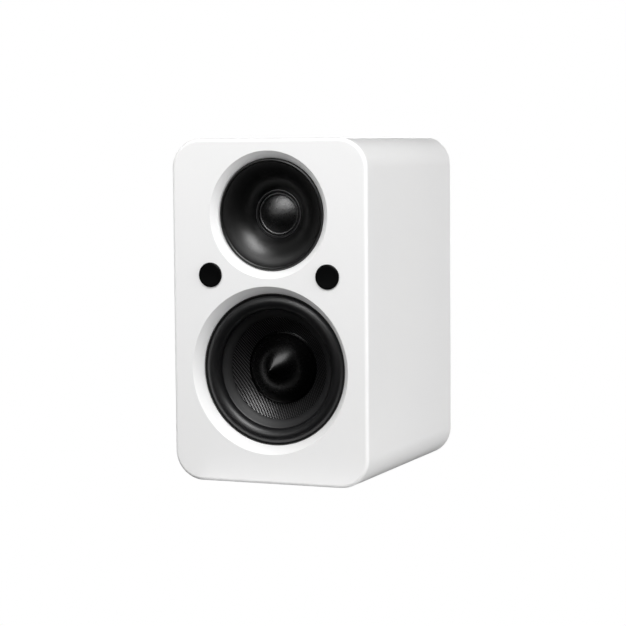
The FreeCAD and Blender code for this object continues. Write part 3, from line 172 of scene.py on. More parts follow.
def arc(start, via, end, count):
    """Points on the circle through three points, from start to end."""
    (ax, ay), (bx, by), (cx, cy) = start, via, end
    d = 2 * (ax * (by - cy) + bx * (cy - ay) + cx * (ay - by))
    a2, b2, c2 = ax * ax + ay * ay, bx * bx + by * by, cx * cx + cy * cy
    ux = (a2 * (by - cy) + b2 * (cy - ay) + c2 * (ay - by)) / d
    uy = (a2 * (cx - bx) + b2 * (ax - cx) + c2 * (bx - ax)) / d
    radius = math.hypot(ax - ux, ay - uy)
    first = math.atan2(ay - uy, ax - ux)
    through = (math.atan2(by - uy, bx - ux) - first) % math.tau
    last = (math.atan2(cy - uy, cx - ux) - first) % math.tau
    sweep = last if through < last else last - math.tau
    steps = [first + sweep * step / count for step in range(count + 1)]
    return [(ux + radius * math.cos(angle), uy + radius * math.sin(angle)) for angle in steps]


def rounded_corner(before, corner, after, radius, count=5):
    """The corner of a section, rounded to a radius."""
    p, q, r = Vector(before), Vector(corner), Vector(after)
    to_p, to_r = (p - q).normalized(), (r - q).normalized()
    half = to_p.angle(to_r) / 2
    reach = radius / math.tan(half)
    centre = q + (to_p + to_r).normalized() * radius / math.sin(half)
    via = centre + (q - centre).normalized() * radius
    return arc(tuple(q + to_p * reach), tuple(via), tuple(q + to_r * reach), count)


# %% Turned pieces
def turned(name, section, axis_at, steps=144):
    """Spin a half section of (radius, depth) in millimetres about a depth axis."""
    points = [Vector((axis_at.x + r * MM, axis_at.y + t * MM, axis_at.z)) for r, t in section]
    nothing_selected()
    bpy.ops.mesh.primitive_plane_add(size=MM, location=points[0])
    piece = bpy.context.object
    piece.name = name
    bpy.ops.object.mode_set(mode="EDIT")
    bpy.ops.mesh.select_mode(type="VERT")
    bpy.ops.mesh.select_all(action="SELECT")
    bpy.ops.mesh.merge(type="CENTER")
    for before, after in zip(points, points[1:]):
        bpy.ops.mesh.extrude_vertices_move(TRANSFORM_OT_translate={"value": after - before})
    bpy.ops.mesh.select_all(action="SELECT")
    bpy.ops.mesh.spin(steps=steps, angle=math.tau, center=axis_at, axis=(0, 1, 0))
    bpy.ops.mesh.select_all(action="SELECT")
    bpy.ops.mesh.remove_doubles(threshold=SAME_SPOT)
    bpy.ops.mesh.normals_make_consistent(inside=False)
    bpy.ops.object.mode_set(mode="OBJECT")
    return settle(piece)


def ring(name, section, axis_at, steps=144):
    """Spin a section that doesn't reach the axis, closed by repeating its first corner."""
    return turned(name, section + section[:1], axis_at, steps)


# %% Blocks with round edges
def edges_where(piece, wanted, bevel, segments):
    """Bevel the edges whose two ends both satisfy a test."""
    only(piece)
    bpy.ops.object.mode_set(mode="EDIT")
    bpy.ops.mesh.select_mode(type="EDGE")
    bpy.ops.mesh.select_all(action="DESELECT")
    bpy.ops.object.mode_set(mode="OBJECT")
    for edge in piece.data.edges:
        first, last = (piece.data.vertices[index].co for index in edge.vertices)
        edge.select = wanted(first, last)
    bpy.ops.object.mode_set(mode="EDIT")
    bpy.ops.mesh.bevel(offset=bevel, segments=segments, affect="EDGES")
    bpy.ops.object.mode_set(mode="OBJECT")


def points_where(piece, wanted):
    """Enter edit mode with only the points selected that satisfy a test."""
    only(piece)
    bpy.ops.object.mode_set(mode="EDIT")
    bpy.ops.mesh.select_mode(type="VERT")
    bpy.ops.mesh.select_all(action="DESELECT")
    bpy.ops.object.mode_set(mode="OBJECT")
    for vertex in piece.data.vertices:
        vertex.select = wanted(vertex.co)
    bpy.ops.object.mode_set(mode="EDIT")


def join_all(name, copies):
    """Join copies of one piece into a single object."""
    nothing_selected()
    for copy in copies:
        copy.select_set(True)
    bpy.context.view_layer.objects.active = copies[0]
    bpy.ops.object.join()
    joined = bpy.context.object
    joined.name = name
    return settle(joined)


def runs_deep(first, last):
    return abs(first.y - last.y) > MM and abs(first.x - last.x) < SAME_SPOT


def block(name, low, high, corner=0.0, segments=12, rims=(), rim_segments=4):
    """A box between two corners, its depth edges rounded, then its rims at given depths rounded."""
    nothing_selected()
    bpy.ops.mesh.primitive_cube_add(size=1, location=(low + high) / 2, scale=high - low)
    piece = bpy.context.object
    piece.name = name
    bpy.ops.object.transform_apply(location=True, rotation=True, scale=True)
    if corner:
        edges_where(piece, runs_deep, corner, segments)
    for depth, radius in rims:
        edges_where(
            piece,
            lambda a, b, depth=depth: max(abs(a.y - depth), abs(b.y - depth)) < SAME_SPOT,
            radius,
            rim_segments,
        )
    return piece


def carve(piece, *tools):
    """Cut solids out of a piece and throw the solids away."""
    for tool in tools:
        apply_modifier(piece, "BOOLEAN", operation="DIFFERENCE", solver="EXACT", object=tool)
        bpy.data.objects.remove(tool)
    return piece


def dress(piece, material):
    piece.data.materials.clear()
    piece.data.materials.append(material)
    return piece


def show(piece, body, slot, *stands_for):
    """Dress a finished piece, and declare what it rides on and which CAD nodes it stands for."""
    dress(piece, LOOKS[slot])
    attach(piece, body)
    if stands_for:
        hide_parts(*stands_for)
    print(f"{piece.name}: {len(piece.data.polygons)} faces on {body}")
    return piece


# %% [markdown]
# ## Helpers for finishes
# A finish is a small tree of shader nodes. Sums on values are written as Python sums: the class
# below wraps a socket, and each operator adds one Math node.

# %% Shader values
class Value:
    """A number that varies over a surface."""

    def __init__(self, finish, socket):
        self.finish = finish
        self.socket = socket

    def _math(self, operation, *others):
        inputs = {index: other for index, other in enumerate((self, *others))}
        return self.finish.node("ShaderNodeMath", {"operation": operation}, inputs)

    def __add__(self, other):
        return self._math("ADD", other)

    __radd__ = __add__

    def __sub__(self, other):
        return self._math("SUBTRACT", other)

    def __rsub__(self, other):
        return (self * -1) + other

    def __mul__(self, other):
        return self._math("MULTIPLY", other)

    __rmul__ = __mul__

    def __truediv__(self, other):
        return self._math("DIVIDE", other)

    def __abs__(self):
        return self._math("ABSOLUTE")

    def power(self, exponent):
        return self._math("POWER", exponent)

    def sine(self):
        return self._math("SINE")

    def floor(self):
        return self._math("FLOOR")

    def smooth(self, low, high):
        """0 below low, 1 above high, with a soft step between."""
        return self.finish.node(
            "ShaderNodeMapRange",
            {"interpolation_type": "SMOOTHSTEP"},
            {"Value": self, "From Min": low, "From Max": high},
        )


LOOKS = {}


class Finish:
    """One material with a Principled shader, kept in LOOKS under the name of its slot."""

    def __init__(self, name):
        self.material = bpy.data.materials.new(name)
        LOOKS[name] = self.material
        self.material.use_nodes = True
        self.tree = self.material.node_tree
        self.tree.nodes.clear()
        self.shader = self.tree.nodes.new("ShaderNodeBsdfPrincipled")
        output = self.tree.nodes.new("ShaderNodeOutputMaterial")
        self.tree.links.new(self.shader.outputs["BSDF"], output.inputs["Surface"])

    def plug(self, socket, content):
        if isinstance(content, Value):
            self.tree.links.new(content.socket, socket)
        else:
            socket.default_value = content

    def node(self, kind, settings=None, inputs=None, output=0):
        made = self.tree.nodes.new(kind)
        for name, setting in (settings or {}).items():
            setattr(made, name, setting)
        for name, content in (inputs or {}).items():
            self.plug(made.inputs[name], content)
        return Value(self, made.outputs[output])

    def place(self):
        """Object coordinates as three values."""
        spot = self.node("ShaderNodeTexCoord", output="Object")
        return [self.node("ShaderNodeSeparateXYZ", {}, {0: spot}, output=axis) for axis in "XYZ"]

    def noise(self, scale, detail=2.0, roughness=0.5):
        spot = self.node("ShaderNodeTexCoord", output="Object")
        inputs = {"Vector": spot, "Scale": scale, "Detail": detail, "Roughness": roughness}
        return self.node("ShaderNodeTexNoise", {}, inputs)

    def grain(self, scale):
        spot = self.node("ShaderNodeTexCoord", output="Object")
        return self.node("ShaderNodeTexVoronoi", {}, {"Vector": spot, "Scale": scale}, output="Distance")

    def mix(self, factor, first, second):
        """From one colour to another as the factor goes from 0 to 1."""
        inputs = {0: factor, 6: (*first, 1), 7: (*second, 1)}
        return self.node("ShaderNodeMix", {"data_type": "RGBA"}, inputs, output=2)

    def bump(self, relief, depth, strength=1.0):
        """Relief from 0 to 1 that stands a depth in metres proud."""
        return self.node("ShaderNodeBump", {}, {"Height": relief, "Distance": depth, "Strength": strength})

    def surface(self, **contents):
        for name, content in contents.items():
            self.plug(self.shader.inputs[name.replace("_", " ").title().replace("Ior", "IOR")], content)
        return self.material


def grey(level):
    return (level, level, level)


# %% [markdown]
# ## Lacquer
# The cabinet is fibreboard under several coats of white satin lacquer. Sprayed lacquer is never quite
# flat: it has a faint orange-peel swell and its sheen wanders a little. Two noises give that, the
# large one to the roughness and the small one to the bump.

# %% White lacquer
def white_lacquer():
    finish = Finish("white_lacquer")
    cloud = finish.noise(9, 3)
    peel = finish.noise(420, 2)
    tint = finish.mix(cloud, (0.845, 0.845, 0.85), (0.865, 0.862, 0.855))
    return finish.surface(
        base_color=tint,
        roughness=0.34 + 0.06 * cloud,
        normal=finish.bump(peel, 0.00006, 0.35),
        coat_weight=0.25,
        coat_roughness=0.22,
    )


white_lacquer()
print("the first finish:", *LOOKS)

# %% [markdown]
# ## Cabinet
# Baffle and wrap are glued and sanded before they are lacquered, so on the outside they are one
# piece. It starts as a cube: the long edges are bevelled to the big radius, the front and rear rims
# to the small one, and the mouths, the inside and the rebate are carved out with turned and block
# shaped cutters.

# %% Cabinet
CORNER = 20 * MM
RIM = 2.5 * MM
WALL = 15 * MM
BAFFLE = cabinet_high.y - cabinet_low.y
REBATE_SKIN = 6 * MM
MOUTH_EDGE = 0.15
WOOFER_MOUTH = (56.1, 50.9, 8.2)
TWEETER_MOUTH = (42.3, 37.5, 5.9)
PANEL_LOW, PANEL_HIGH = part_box("rear_panel")
SEAL_LOW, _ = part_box("rear_panel_seal")


def mouth_cutter(name, radii, axis_at):
    """The air in a driver's flared mouth: radius in front, radius at the seat, and the seat's depth."""
    mouth, opening, seat = radii
    over = mouth + MOUTH_EDGE
    through = (BAFFLE / MM) + 1
    flare = arc((mouth - 0.25, 0.4), ((mouth + opening) / 2 - 0.35, seat / 2), (opening, seat), 10)
    lip = arc((over, 0), (mouth - 0.05, 0.12), (mouth - 0.25, 0.4), 5)
    section = [(0, -2), (over, -2)] + lip + flare[1:] + [(opening, through), (0, through)]
    return turned(name, section, axis_at, 160)


def build_cabinet():
    cabinet = block(
        "cabinet",
        CABINET_LOW,
        CABINET_HIGH,
        corner=CORNER,
        segments=24,
        rims=((FRONT, RIM), (REAR, RIM)),
        rim_segments=6,
    )
    inset = Vector((WALL, 0, WALL))
    inside_low = Vector((CABINET_LOW.x, FRONT + BAFFLE, CABINET_LOW.z)) + inset
    inside_high = Vector((CABINET_HIGH.x, REAR + WALL, CABINET_HIGH.z)) - inset
    inside = block("inside", inside_low, inside_high, corner=CORNER - WALL, segments=8)
    inset = Vector((REBATE_SKIN, 0, REBATE_SKIN))
    rebate_low = Vector((CABINET_LOW.x, SEAL_LOW.y, CABINET_LOW.z)) + inset
    rebate_high = Vector((CABINET_HIGH.x, REAR + WALL, CABINET_HIGH.z)) - inset
    rebate = block("rebate", rebate_low, rebate_high, corner=CORNER - REBATE_SKIN, segments=16)
    woofer_mouth = mouth_cutter("woofer_mouth", WOOFER_MOUTH, WOOFER)
    tweeter_mouth = mouth_cutter("tweeter_mouth", TWEETER_MOUTH, TWEETER)
    carve(cabinet, inside, rebate, woofer_mouth, tweeter_mouth)
    settle(cabinet)
    apply_modifier(cabinet, "WEIGHTED_NORMAL", keep_sharp=True)
    return show(cabinet, "cabinet", "white_lacquer", "front_baffle", "cabinet_shell")


build_cabinet()

# %% [markdown]
# ## Rear panel
# The rear panel lies in a rebate, so a thin shadow line shows round it. It is a block with round
# corners and a softened rim, with two stepped holes, one for the port and one for the terminal cup,
# and a countersink for each screw.

# %% Rear panel
PANEL_CORNER = CORNER - REBATE_SKIN - 0.3 * MM
PORT_FLANGE = (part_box("port_tube")[1].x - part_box("port_tube")[0].x) / 2 / MM
CUP_LOW, CUP_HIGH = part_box("terminal_cup")
CUP_HALF = (CUP_HIGH.x - CUP_LOW.x) / 2
CUP_RISE = (CUP_HIGH.z - CUP_LOW.z) / 2
CUP_CORNER = 6 * MM
FLANGE_THICK = 3 * MM
FIT = 0.25 * MM
TUB_MARGIN = 9 * MM
PORT_HOLE = 18.2
PORT_GAP = 0.2
HOLE_DEPTH = 20
REAR_AT = DEPTH / MM


def grown(low, high, by):
    """The two corners of a box, moved out by a distance in the width and height."""
    step = Vector((by, 0, by))
    return low - step, high + step


def screw_places(node):
    """The middle of each screw of a CAD group, found from its loose parts."""
    source = nodes[node]
    only(source)
    bpy.ops.object.duplicate()
    bpy.ops.object.mode_set(mode="EDIT")
    bpy.ops.mesh.select_all(action="SELECT")
    bpy.ops.mesh.remove_doubles(threshold=SAME_SPOT)
    bpy.ops.mesh.separate(type="LOOSE")
    bpy.ops.object.mode_set(mode="OBJECT")
    places = []
    for solid in list(bpy.context.selected_objects):
        corners = [vertex.co for vertex in solid.data.vertices]
        low = Vector(min(corner[axis] for corner in corners) for axis in range(3))
        high = Vector(max(corner[axis] for corner in corners) for axis in range(3))
        places.append(Vector(((low.x + high.x) / 2, high.y, (low.z + high.z) / 2)))
        bpy.data.objects.remove(solid)
    return sorted(places, key=lambda spot: (round(spot.z, 4), spot.x))


PANEL_SCREWS = screw_places("rear_panel_screws")
CUP_SCREWS = screw_places("cup_screws")
SCREW_HEAD = 3.1
HEAD_DEPTH = 1.8
HEAD_GAP = 0.25
SINK_DEPTH = 2.0
print(len(PANEL_SCREWS), "panel screws,", len(CUP_SCREWS), "cup screws")


def on_axis(spot):
    return Vector((spot.x, FRONT, spot.z))


def countersink(spot, surface):
    """A cutter for a countersunk screw head under a rear surface at a depth in millimetres."""
    wide, narrow, floor = SCREW_HEAD + HEAD_GAP, 1.8, surface - SINK_DEPTH
    section = [(0, surface + 2), (wide, surface + 2), (wide, surface - 0.1)]
    section += [(narrow, floor), (0, floor)]
    return turned("countersink", section, on_axis(spot), 32)


def build_rear_panel():
    panel = block(
        "rear_panel_board",
        PANEL_LOW,
        PANEL_HIGH,
        corner=PANEL_CORNER,
        segments=16,
        rims=((PANEL_HIGH.y, 0.5 * MM),),
        rim_segments=3,
    )
    flange = PORT_FLANGE + PORT_GAP
    step_at = REAR_AT - FLANGE_THICK / MM
    hole_end = REAR_AT - HOLE_DEPTH
    port_step = [(0, REAR_AT + 2), (flange, REAR_AT + 2), (flange, step_at)]
    port_step += [(PORT_HOLE, step_at), (PORT_HOLE, hole_end), (0, hole_end)]
    low, high = grown(CUP_LOW, CUP_HIGH, FIT)
    low.y = REAR - FLANGE_THICK
    high.y = REAR + WALL
    flange_pocket = block("flange_pocket", low, high, corner=CUP_CORNER, segments=8)
    low, high = grown(CUP_LOW, CUP_HIGH, -TUB_MARGIN)
    low.y = REAR - 2 * WALL
    high.y = REAR + WALL
    tub_hole = block("tub_hole", low, high, corner=CUP_CORNER, segments=8)
    cutters = [turned("port_step", port_step, PORT, 96), flange_pocket, tub_hole]
    cutters += [countersink(spot, REAR_AT) for spot in PANEL_SCREWS]
    carve(panel, *cutters)
    settle(panel)
    return show(panel, "cabinet", "white_lacquer", "rear_panel")


build_rear_panel()

# %% [markdown]
# ## Moulded, cast and rubber finishes
# Black plastic and rubber are never one black. Moulded parts carry a fine spark-eroded grain, rubber
# a duller and softer one, and both gather a little dust and rub marks. One function makes them all:
# a colour that drifts between two near tones, a roughness that drifts with it, and a grain as bump.

# %% Moulded finishes
def moulded(name, dark, light, rough, grain_size, depth, coat=0.0, drift=60, shine=0.5):
    """A moulded surface: grain size and depth in millimetres, two tones and a roughness."""
    finish = Finish(name)
    cloud = finish.noise(drift, 3, 0.6)
    grain = finish.noise(1 / (grain_size * MM), 2, 0.6)
    scuff = finish.noise(drift * 6, 4, 0.7).smooth(0.52, 0.75)
    return finish.surface(
        base_color=finish.mix(cloud * 0.8 + scuff * 0.2, dark, light),
        roughness=rough + 0.08 * (cloud - 0.5) + 0.05 * scuff,
        normal=finish.bump(grain, depth * MM, 0.6),
        specular_ior_level=shine,
        coat_weight=coat,
        coat_roughness=0.25,
    )


# %% [markdown]
# ## Rubber of the roll
# The roll is butyl rubber, satin where it bulges and duller on the lip, where glue and talc have
# taken its gloss. The lip is found by its distance from the woofer's axis.

# %% Rubber
LIP_INNER, LIP_OUTER = 38.6 * MM, 40.4 * MM


def from_axis(finish, axis_z):
    """Distance from a driver's axis, over the surface."""
    across, _, up = finish.place()
    rise = up - axis_z
    return (across * across + rise * rise).power(0.5)


def rubber_ring():
    """Butyl rubber: satin, with a very fine pebble and a faint bloom. The glued lip is duller."""
    finish = Finish("roll_rubber")
    dull = 1 - from_axis(finish, WOOFER.z).smooth(LIP_INNER, LIP_OUTER)
    cloud = finish.noise(35, 3, 0.6)
    pebble = finish.noise(2600, 2, 0.6)
    bloom = finish.noise(220, 4, 0.65).smooth(0.5, 0.8)
    return finish.surface(
        base_color=finish.mix(bloom * 0.5, (0.0035, 0.0035, 0.004), (0.006, 0.006, 0.0065)),
        specular_ior_level=0.9,
        roughness=0.36 + 0.08 * cloud + 0.2 * dull,
        normal=finish.bump(pebble, 0.00002, 0.4),
    )


# %% [markdown]
# ## Woven fibre of the cone
# Glass or aramid fibre is woven as twill, which shows slanting rows of short raised dashes. A wave
# across the rows times a wave along them makes the dashes, each row shifted by half a dash. Only the
# resin on a raised thread shines, so the dashes carry a clear coat. The dashes are also painted a
# little lighter than the gaps, which stay nearly black: a painted glint.

# %% Twill
ROW_ANGLE = math.radians(57)
ROW_PITCH = 1.5 * MM
DASH_PITCH = 1.0 * MM


def woven_fibre():
    """Twill: seen from the front, the threads that lie on top make slanting rows of short dashes."""
    finish = Finish("woven_fibre")
    across, _, up = finish.place()
    wander = finish.noise(60, 2) * 0.35
    row = (across * math.sin(ROW_ANGLE) + up * math.cos(ROW_ANGLE)) / ROW_PITCH + wander
    along = (across * math.cos(ROW_ANGLE) - up * math.sin(ROW_ANGLE)) / DASH_PITCH
    shifted = along + 0.5 * row.floor()
    dash = abs((row * math.pi).sine()).power(0.8) * abs((shifted * math.pi).sine()).power(0.7)
    cloud = finish.noise(45, 3)
    # mask of the raised dashes: it sets their clear coat, and it paints a glint into their colour
    coat_and_painted_glint = dash.smooth(0.4, 0.85)
    return finish.surface(
        # painted glint: the raised dashes are painted lighter than the gaps between them
        base_color=finish.mix(coat_and_painted_glint, (0.0004, 0.0004, 0.0005), (0.006, 0.006, 0.0065)),
        specular_ior_level=0.15,
        roughness=0.45 + 0.06 * cloud,
        coat_weight=coat_and_painted_glint,
        coat_roughness=0.42,
        coat_ior=2.1,
        normal=finish.bump(dash, 0.0003, 0.9),
    )


# %% [markdown]
# ## Cloth and trim of the tweeter
# The dome is silk dipped in a sticky coating, so it is glossier than plain cloth and its highlight
# breaks up. The clamp ring round it is black, with a painted highlight: one thin line at its lip is
# painted bright and made metallic.

# %% Dome cloth and throat trim
def soft_cloth():
    """Doped cloth dome: a fine crossed weave, brushed with a coating that dries in patches."""
    finish = Finish("dome_cloth")
    across, _, up = finish.place()
    thread = math.tau / (0.42 * MM)
    mesh = abs((across * thread).sine()) + abs((up * thread).sine())
    patches = finish.noise(900, 4, 0.65)
    speck = patches.smooth(0.4, 0.68)
    return finish.surface(
        base_color=finish.mix(speck, (0.0004, 0.0004, 0.0005), (0.004, 0.004, 0.0042)),
        ior=1.7,
        specular_ior_level=1.0,
        roughness=0.35 - 0.1 * speck,
        normal=finish.bump(mesh * 0.2 + patches, 0.00013, 0.7),
    )


LIP_RADIUS = 16.05 * MM
LINE_CORE, LINE_EDGE = 0.08 * MM, 0.22 * MM


def throat_trim():
    """Black trim with a painted highlight, a thin bright metal line at its lip, found by distance from the
    tweeter's axis.
    """
    finish = Finish("throat_trim")
    from_line = abs(from_axis(finish, TWEETER.z) - LIP_RADIUS)
    # painted highlight: a thin ring at the lip's radius, made metallic and painted bright
    metal_and_painted_highlight = 1 - from_line.smooth(LINE_CORE, LINE_EDGE)
    scratch = finish.noise(900, 3)
    return finish.surface(
        # painted highlight: bright grey painted on the lip line, black elsewhere
        base_color=finish.mix(metal_and_painted_highlight, (0.002, 0.002, 0.0022), (0.3, 0.3, 0.31)),
        metallic=metal_and_painted_highlight,
        roughness=0.36 + 0.12 * scratch,
        normal=finish.bump(scratch, 0.00001, 0.4),
    )


# %% [markdown]
# ## The blacks and the colours
# Each moulded piece has its own near black. Those at the front are polished and very dark, those at
# the rear plainer and lighter. The positive post is red. All finishes made so far are then listed.

# %% Moulded pieces
def black(level):
    """A near black with the slight blue of moulded plastic."""
    return (level, level, level * 1.08)


moulded("guide_plastic", black(0.0003), black(0.0008), 0.37, 0.18, 0.004, drift=40, shine=0.9)
moulded("cap_plastic", black(0.0002), black(0.0004), 0.27, 0.2, 0.002, drift=30, shine=0.3)
moulded("catch_black", black(0.0008), black(0.002), 0.34, 0.15, 0.008, drift=120, shine=0.25)
moulded("port_plastic", black(0.008), black(0.015), 0.45, 0.3, 0.03)
moulded("cup_plastic", black(0.009), black(0.017), 0.42, 0.35, 0.035)
moulded("foot_rubber", black(0.015), black(0.028), 0.75, 0.4, 0.03)
moulded("positive_red", (0.42, 0.012, 0.01), (0.55, 0.022, 0.018), 0.28, 0.25, 0.01, coat=0.3)
moulded("negative_black", black(0.006), black(0.014), 0.28, 0.25, 0.01, coat=0.3)
rubber_ring()
woven_fibre()
soft_cloth()
throat_trim()
print("finishes so far:", ", ".join(LOOKS))

# %% [markdown]
# ## Woofer
# From outside in: the rubber half roll, its lip glued on the cone, the woven cone, and the pointed
# cap with its line of glue. The roll joins two bodies, the cabinet and the moving cone.

# %% Woofer roll
CONE_EDGE = 38.5
CONE_EDGE_AT = 14.1
CONE_SLOPE = 0.664
ROLL_SKIN = 0.8
RIM_AT = 9.2


def cone_at(radius):
    """Depth of the cone's front at a radius, in millimetres."""
    return CONE_EDGE_AT + (CONE_EDGE - radius) * CONE_SLOPE


def build_woofer_roll():
    inner, outer, lip_inner, rim = 39.8, 49.9, 34.4, 52.9
    crown_at, glue = 6.6, 0.1
    crown = ((inner + outer) / 2, crown_at)
    lip_front = cone_at(lip_inner) - glue - ROLL_SKIN
    foot = (inner, cone_at(inner) - glue - ROLL_SKIN)
    front_roll = arc(foot, crown, (outer, RIM_AT), 22)
    under = (crown[0], crown[1] + ROLL_SKIN)
    rear_foot = (inner + ROLL_SKIN, cone_at(inner + ROLL_SKIN) - glue)
    rear_roll = arc((outer - ROLL_SKIN, RIM_AT + ROLL_SKIN), under, rear_foot, 16)
    lip_end = [(lip_inner + 0.05, lip_front + 0.5), (lip_inner + 0.25, lip_front + 0.05)]
    lip_middle = lip_inner + 2.4
    lip = [(lip_middle, cone_at(lip_middle) - glue - ROLL_SKIN), (inner - 0.5, foot[1] + 0.33)]
    section = lip_end + lip + front_roll + [(rim, RIM_AT), (rim, RIM_AT + ROLL_SKIN)] + rear_roll
    section += [(lip_inner, cone_at(lip_inner) - glue)]
    roll = ring("woofer_roll", section, WOOFER, 180)
    dress(roll, LOOKS["roll_rubber"])
    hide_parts("woofer_surround")
    end = WOOFER + Vector((0, (foot[1] + 0.6) * MM, 0))
    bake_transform(roll)
    return roll


build_woofer_roll()

# %% Woofer cone and cap
CAP_BASE = 23.4


def build_woofer_cone():
    inner, thick = 12.9, 0.7
    radii = [CONE_EDGE - step * (CONE_EDGE - inner) / 12 for step in range(13)]
    front = [(radius, cone_at(radius)) for radius in radii]
    neck = cone_at(inner)
    neck_end = neck + 1.2 * thick
    rear = [(inner, neck_end), (inner + thick, neck_end), (inner + thick, neck + thick)]
    rear += [(CONE_EDGE, CONE_EDGE_AT + thick)]
    cone = ring("woofer_woven_cone", front + rear, WOOFER, 144)
    return show(cone, "woofer_diaphragm", "woven_fibre", "woofer_cone")


def build_woofer_cap():
    tip, bulge, thick = 0.5, 3.2, 0.8
    base = cone_at(CAP_BASE)
    lean = math.sqrt(0.5)
    via = (CAP_BASE / 2 + bulge * lean, (base + tip) / 2 - bulge * lean)
    ogive = arc((0.8, tip + 0.42), via, (CAP_BASE, base - 0.55), 30)
    inner_via = (via[0] - thick, via[1] + thick)
    lining = arc((CAP_BASE - thick, base - 0.1), inner_via, (0.4, tip + 3 * thick), 20)
    glue_foot, glue_end = CAP_BASE + 1.0, CAP_BASE + 1.2
    glue_top = (CAP_BASE + 0.2, base - 0.45)
    glue = rounded_corner((CAP_BASE, base - 0.9), glue_top, (glue_foot, base - 0.35), 0.15, 3)
    foot = [(glue_foot, cone_at(glue_foot) - 0.28), (glue_end, cone_at(glue_end) - 0.04)]
    nose = [(0, tip), (0.35, tip + 0.08)]
    section = nose + ogive + glue[-1:] + foot + lining + [(0, tip + 3 * thick)]
    cap = turned("woofer_pointed_cap", section, WOOFER, 144)
    return show(cap, "woofer_diaphragm", "cap_plastic", "woofer_dust_cap")


build_woofer_cone()
build_woofer_cap()

# %% [markdown]
# ## Tweeter
# A moulded guide leads the sound from a small cloth dome out to the baffle. Its rim is a round bead,
# then the horn curves in to the throat, where a clamp ring with a painted highlight on its lip holds
# the diaphragm.

# %% Tweeter guide
BEAD_INNER = 34.9
BEAD_INNER_AT = 5.0
THROAT = 16.4
THROAT_AT = 18.1
DIAPHRAGM_AT = 19.3
SKIRT_AT = 19.7
GUIDE_FLANGE = 47.5
CLAMP_OUTER = 18.7


def build_guide():
    rim, bead_at, flange_at, flange_end = 37.2, 4.4, 6.9, 9.9
    lean, drop = BEAD_INNER - THROAT, THROAT_AT - BEAD_INNER_AT
    chord = math.hypot(lean, drop)
    bulge, wall = 3.2, 2.5
    horn_via = (
        (BEAD_INNER + THROAT) / 2 - bulge * drop / chord,
        (BEAD_INNER_AT + THROAT_AT) / 2 - bulge * lean / chord,
    )
    horn = arc((THROAT, THROAT_AT), horn_via, (BEAD_INNER, BEAD_INNER_AT), 34)
    bead = arc((BEAD_INNER, BEAD_INNER_AT), ((BEAD_INNER + rim) / 2, bead_at), (rim, 5.6), 10)
    back = [
        (rim, flange_at),
        (GUIDE_FLANGE, flange_at),
        (GUIDE_FLANGE, flange_end),
        (BEAD_INNER, flange_end),
        (THROAT + 2 * wall, THROAT_AT),
        (THROAT + 2 * wall, SKIRT_AT),
        (THROAT + wall, SKIRT_AT),
        (THROAT + wall, THROAT_AT),
    ]
    guide = ring("tweeter_horn_guide", horn + bead[1:] + back, TWEETER, 180)
    return show(guide, "cabinet", "guide_plastic", "tweeter_waveguide")


def build_throat_ring():
    width, rise, glue = 2.0, 0.5, 0.2
    inner, lip = THROAT - width, THROAT - glue
    top, step_at = THROAT_AT - rise, THROAT_AT + glue
    crown = rounded_corner((inner, DIAPHRAGM_AT), (inner + 0.2, top), (lip, top), 0.5, 5)
    edge = rounded_corner((inner, top), (lip, top), (lip, THROAT_AT), 0.25, 4)
    back = [(lip, step_at), (CLAMP_OUTER, step_at), (CLAMP_OUTER, DIAPHRAGM_AT), (inner, DIAPHRAGM_AT)]
    clamp = ring("tweeter_clamp_ring", crown + edge + back, TWEETER, 144)
    return show(clamp, "cabinet", "throat_trim", "tweeter_throat_ring")


def build_dome():
    radius, rise, thick, fullness, shoulder_share = 12.5, 4.3, 0.4, 1.06, 0.45
    inside_top = DIAPHRAGM_AT - rise + thick
    shoulder = (radius * math.sqrt(0.5) * fullness, DIAPHRAGM_AT - rise * shoulder_share)
    outside = arc((0.4, DIAPHRAGM_AT - rise), shoulder, (radius, DIAPHRAGM_AT), 22)
    inner_shoulder = (shoulder[0] - thick, shoulder[1] + thick)
    inside = arc((radius - thick, DIAPHRAGM_AT), inner_shoulder, (0.4, inside_top), 16)
    top = [(0, DIAPHRAGM_AT - rise)]
    skirt = [(radius, SKIRT_AT), (radius - thick, SKIRT_AT)]
    dome = turned("tweeter_cloth_dome", top + outside + skirt + inside + [(0, inside_top)], TWEETER, 120)
    return show(dome, "tweeter_diaphragm", "dome_cloth", "tweeter_dome")


def build_small_roll():
    inner, outer, thick, skirt_at = 12.58, 14.4, 0.4, 19.45
    middle_at = (inner + outer) / 2
    crown = DIAPHRAGM_AT - (outer - inner) / 2
    front = arc((inner, DIAPHRAGM_AT), (middle_at, crown), (outer, DIAPHRAGM_AT), 10)
    rear = arc((outer - thick, skirt_at), (middle_at, crown + thick), (inner + thick, skirt_at), 8)
    rim = [(THROAT, DIAPHRAGM_AT), (THROAT, skirt_at)]
    roll = ring("tweeter_small_roll", front + rim + rear + [(inner, skirt_at)], TWEETER, 120)
    return show(roll, "cabinet", "dome_cloth", "tweeter_surround")


build_guide()
build_throat_ring()
build_dome()
build_small_roll()

# %% [markdown]
# ## Catches
# Two low studs carry the magnets that hold the cloth grille. Each is a turned cap, very slightly
# dished, with a round rim that catches the light, on a spigot glued into the baffle.

# %% Catches
def build_catch(side, node):
    radius, proud, spigot, length, well = 8.3, -1.2, 5.5, 8.0, 4.15
    at = on_axis(middle(node))
    rim = rounded_corner((radius - 2, proud), (radius, proud), (radius, 0.02), 0.75, 7)
    face = [(0, proud + 0.22), (3, proud + 0.19), (6, proud + 0.06), (6.9, proud)]
    back = [(radius, 0.02), (spigot, 0.02), (spigot, length)]
    back += [(well, length), (well, length / 2), (0, length / 2)]
    catch = turned("grille_stud_" + side, face + rim + back, at, 96)
    return show(catch, "cabinet", "catch_black", node)


for side in ("left", "right"):
    build_catch(side, "grille_catch_" + side)

# %% [markdown]
# ## Port
# A round tube leaves through the rear. Its mouth flares so that the air doesn't chuff.

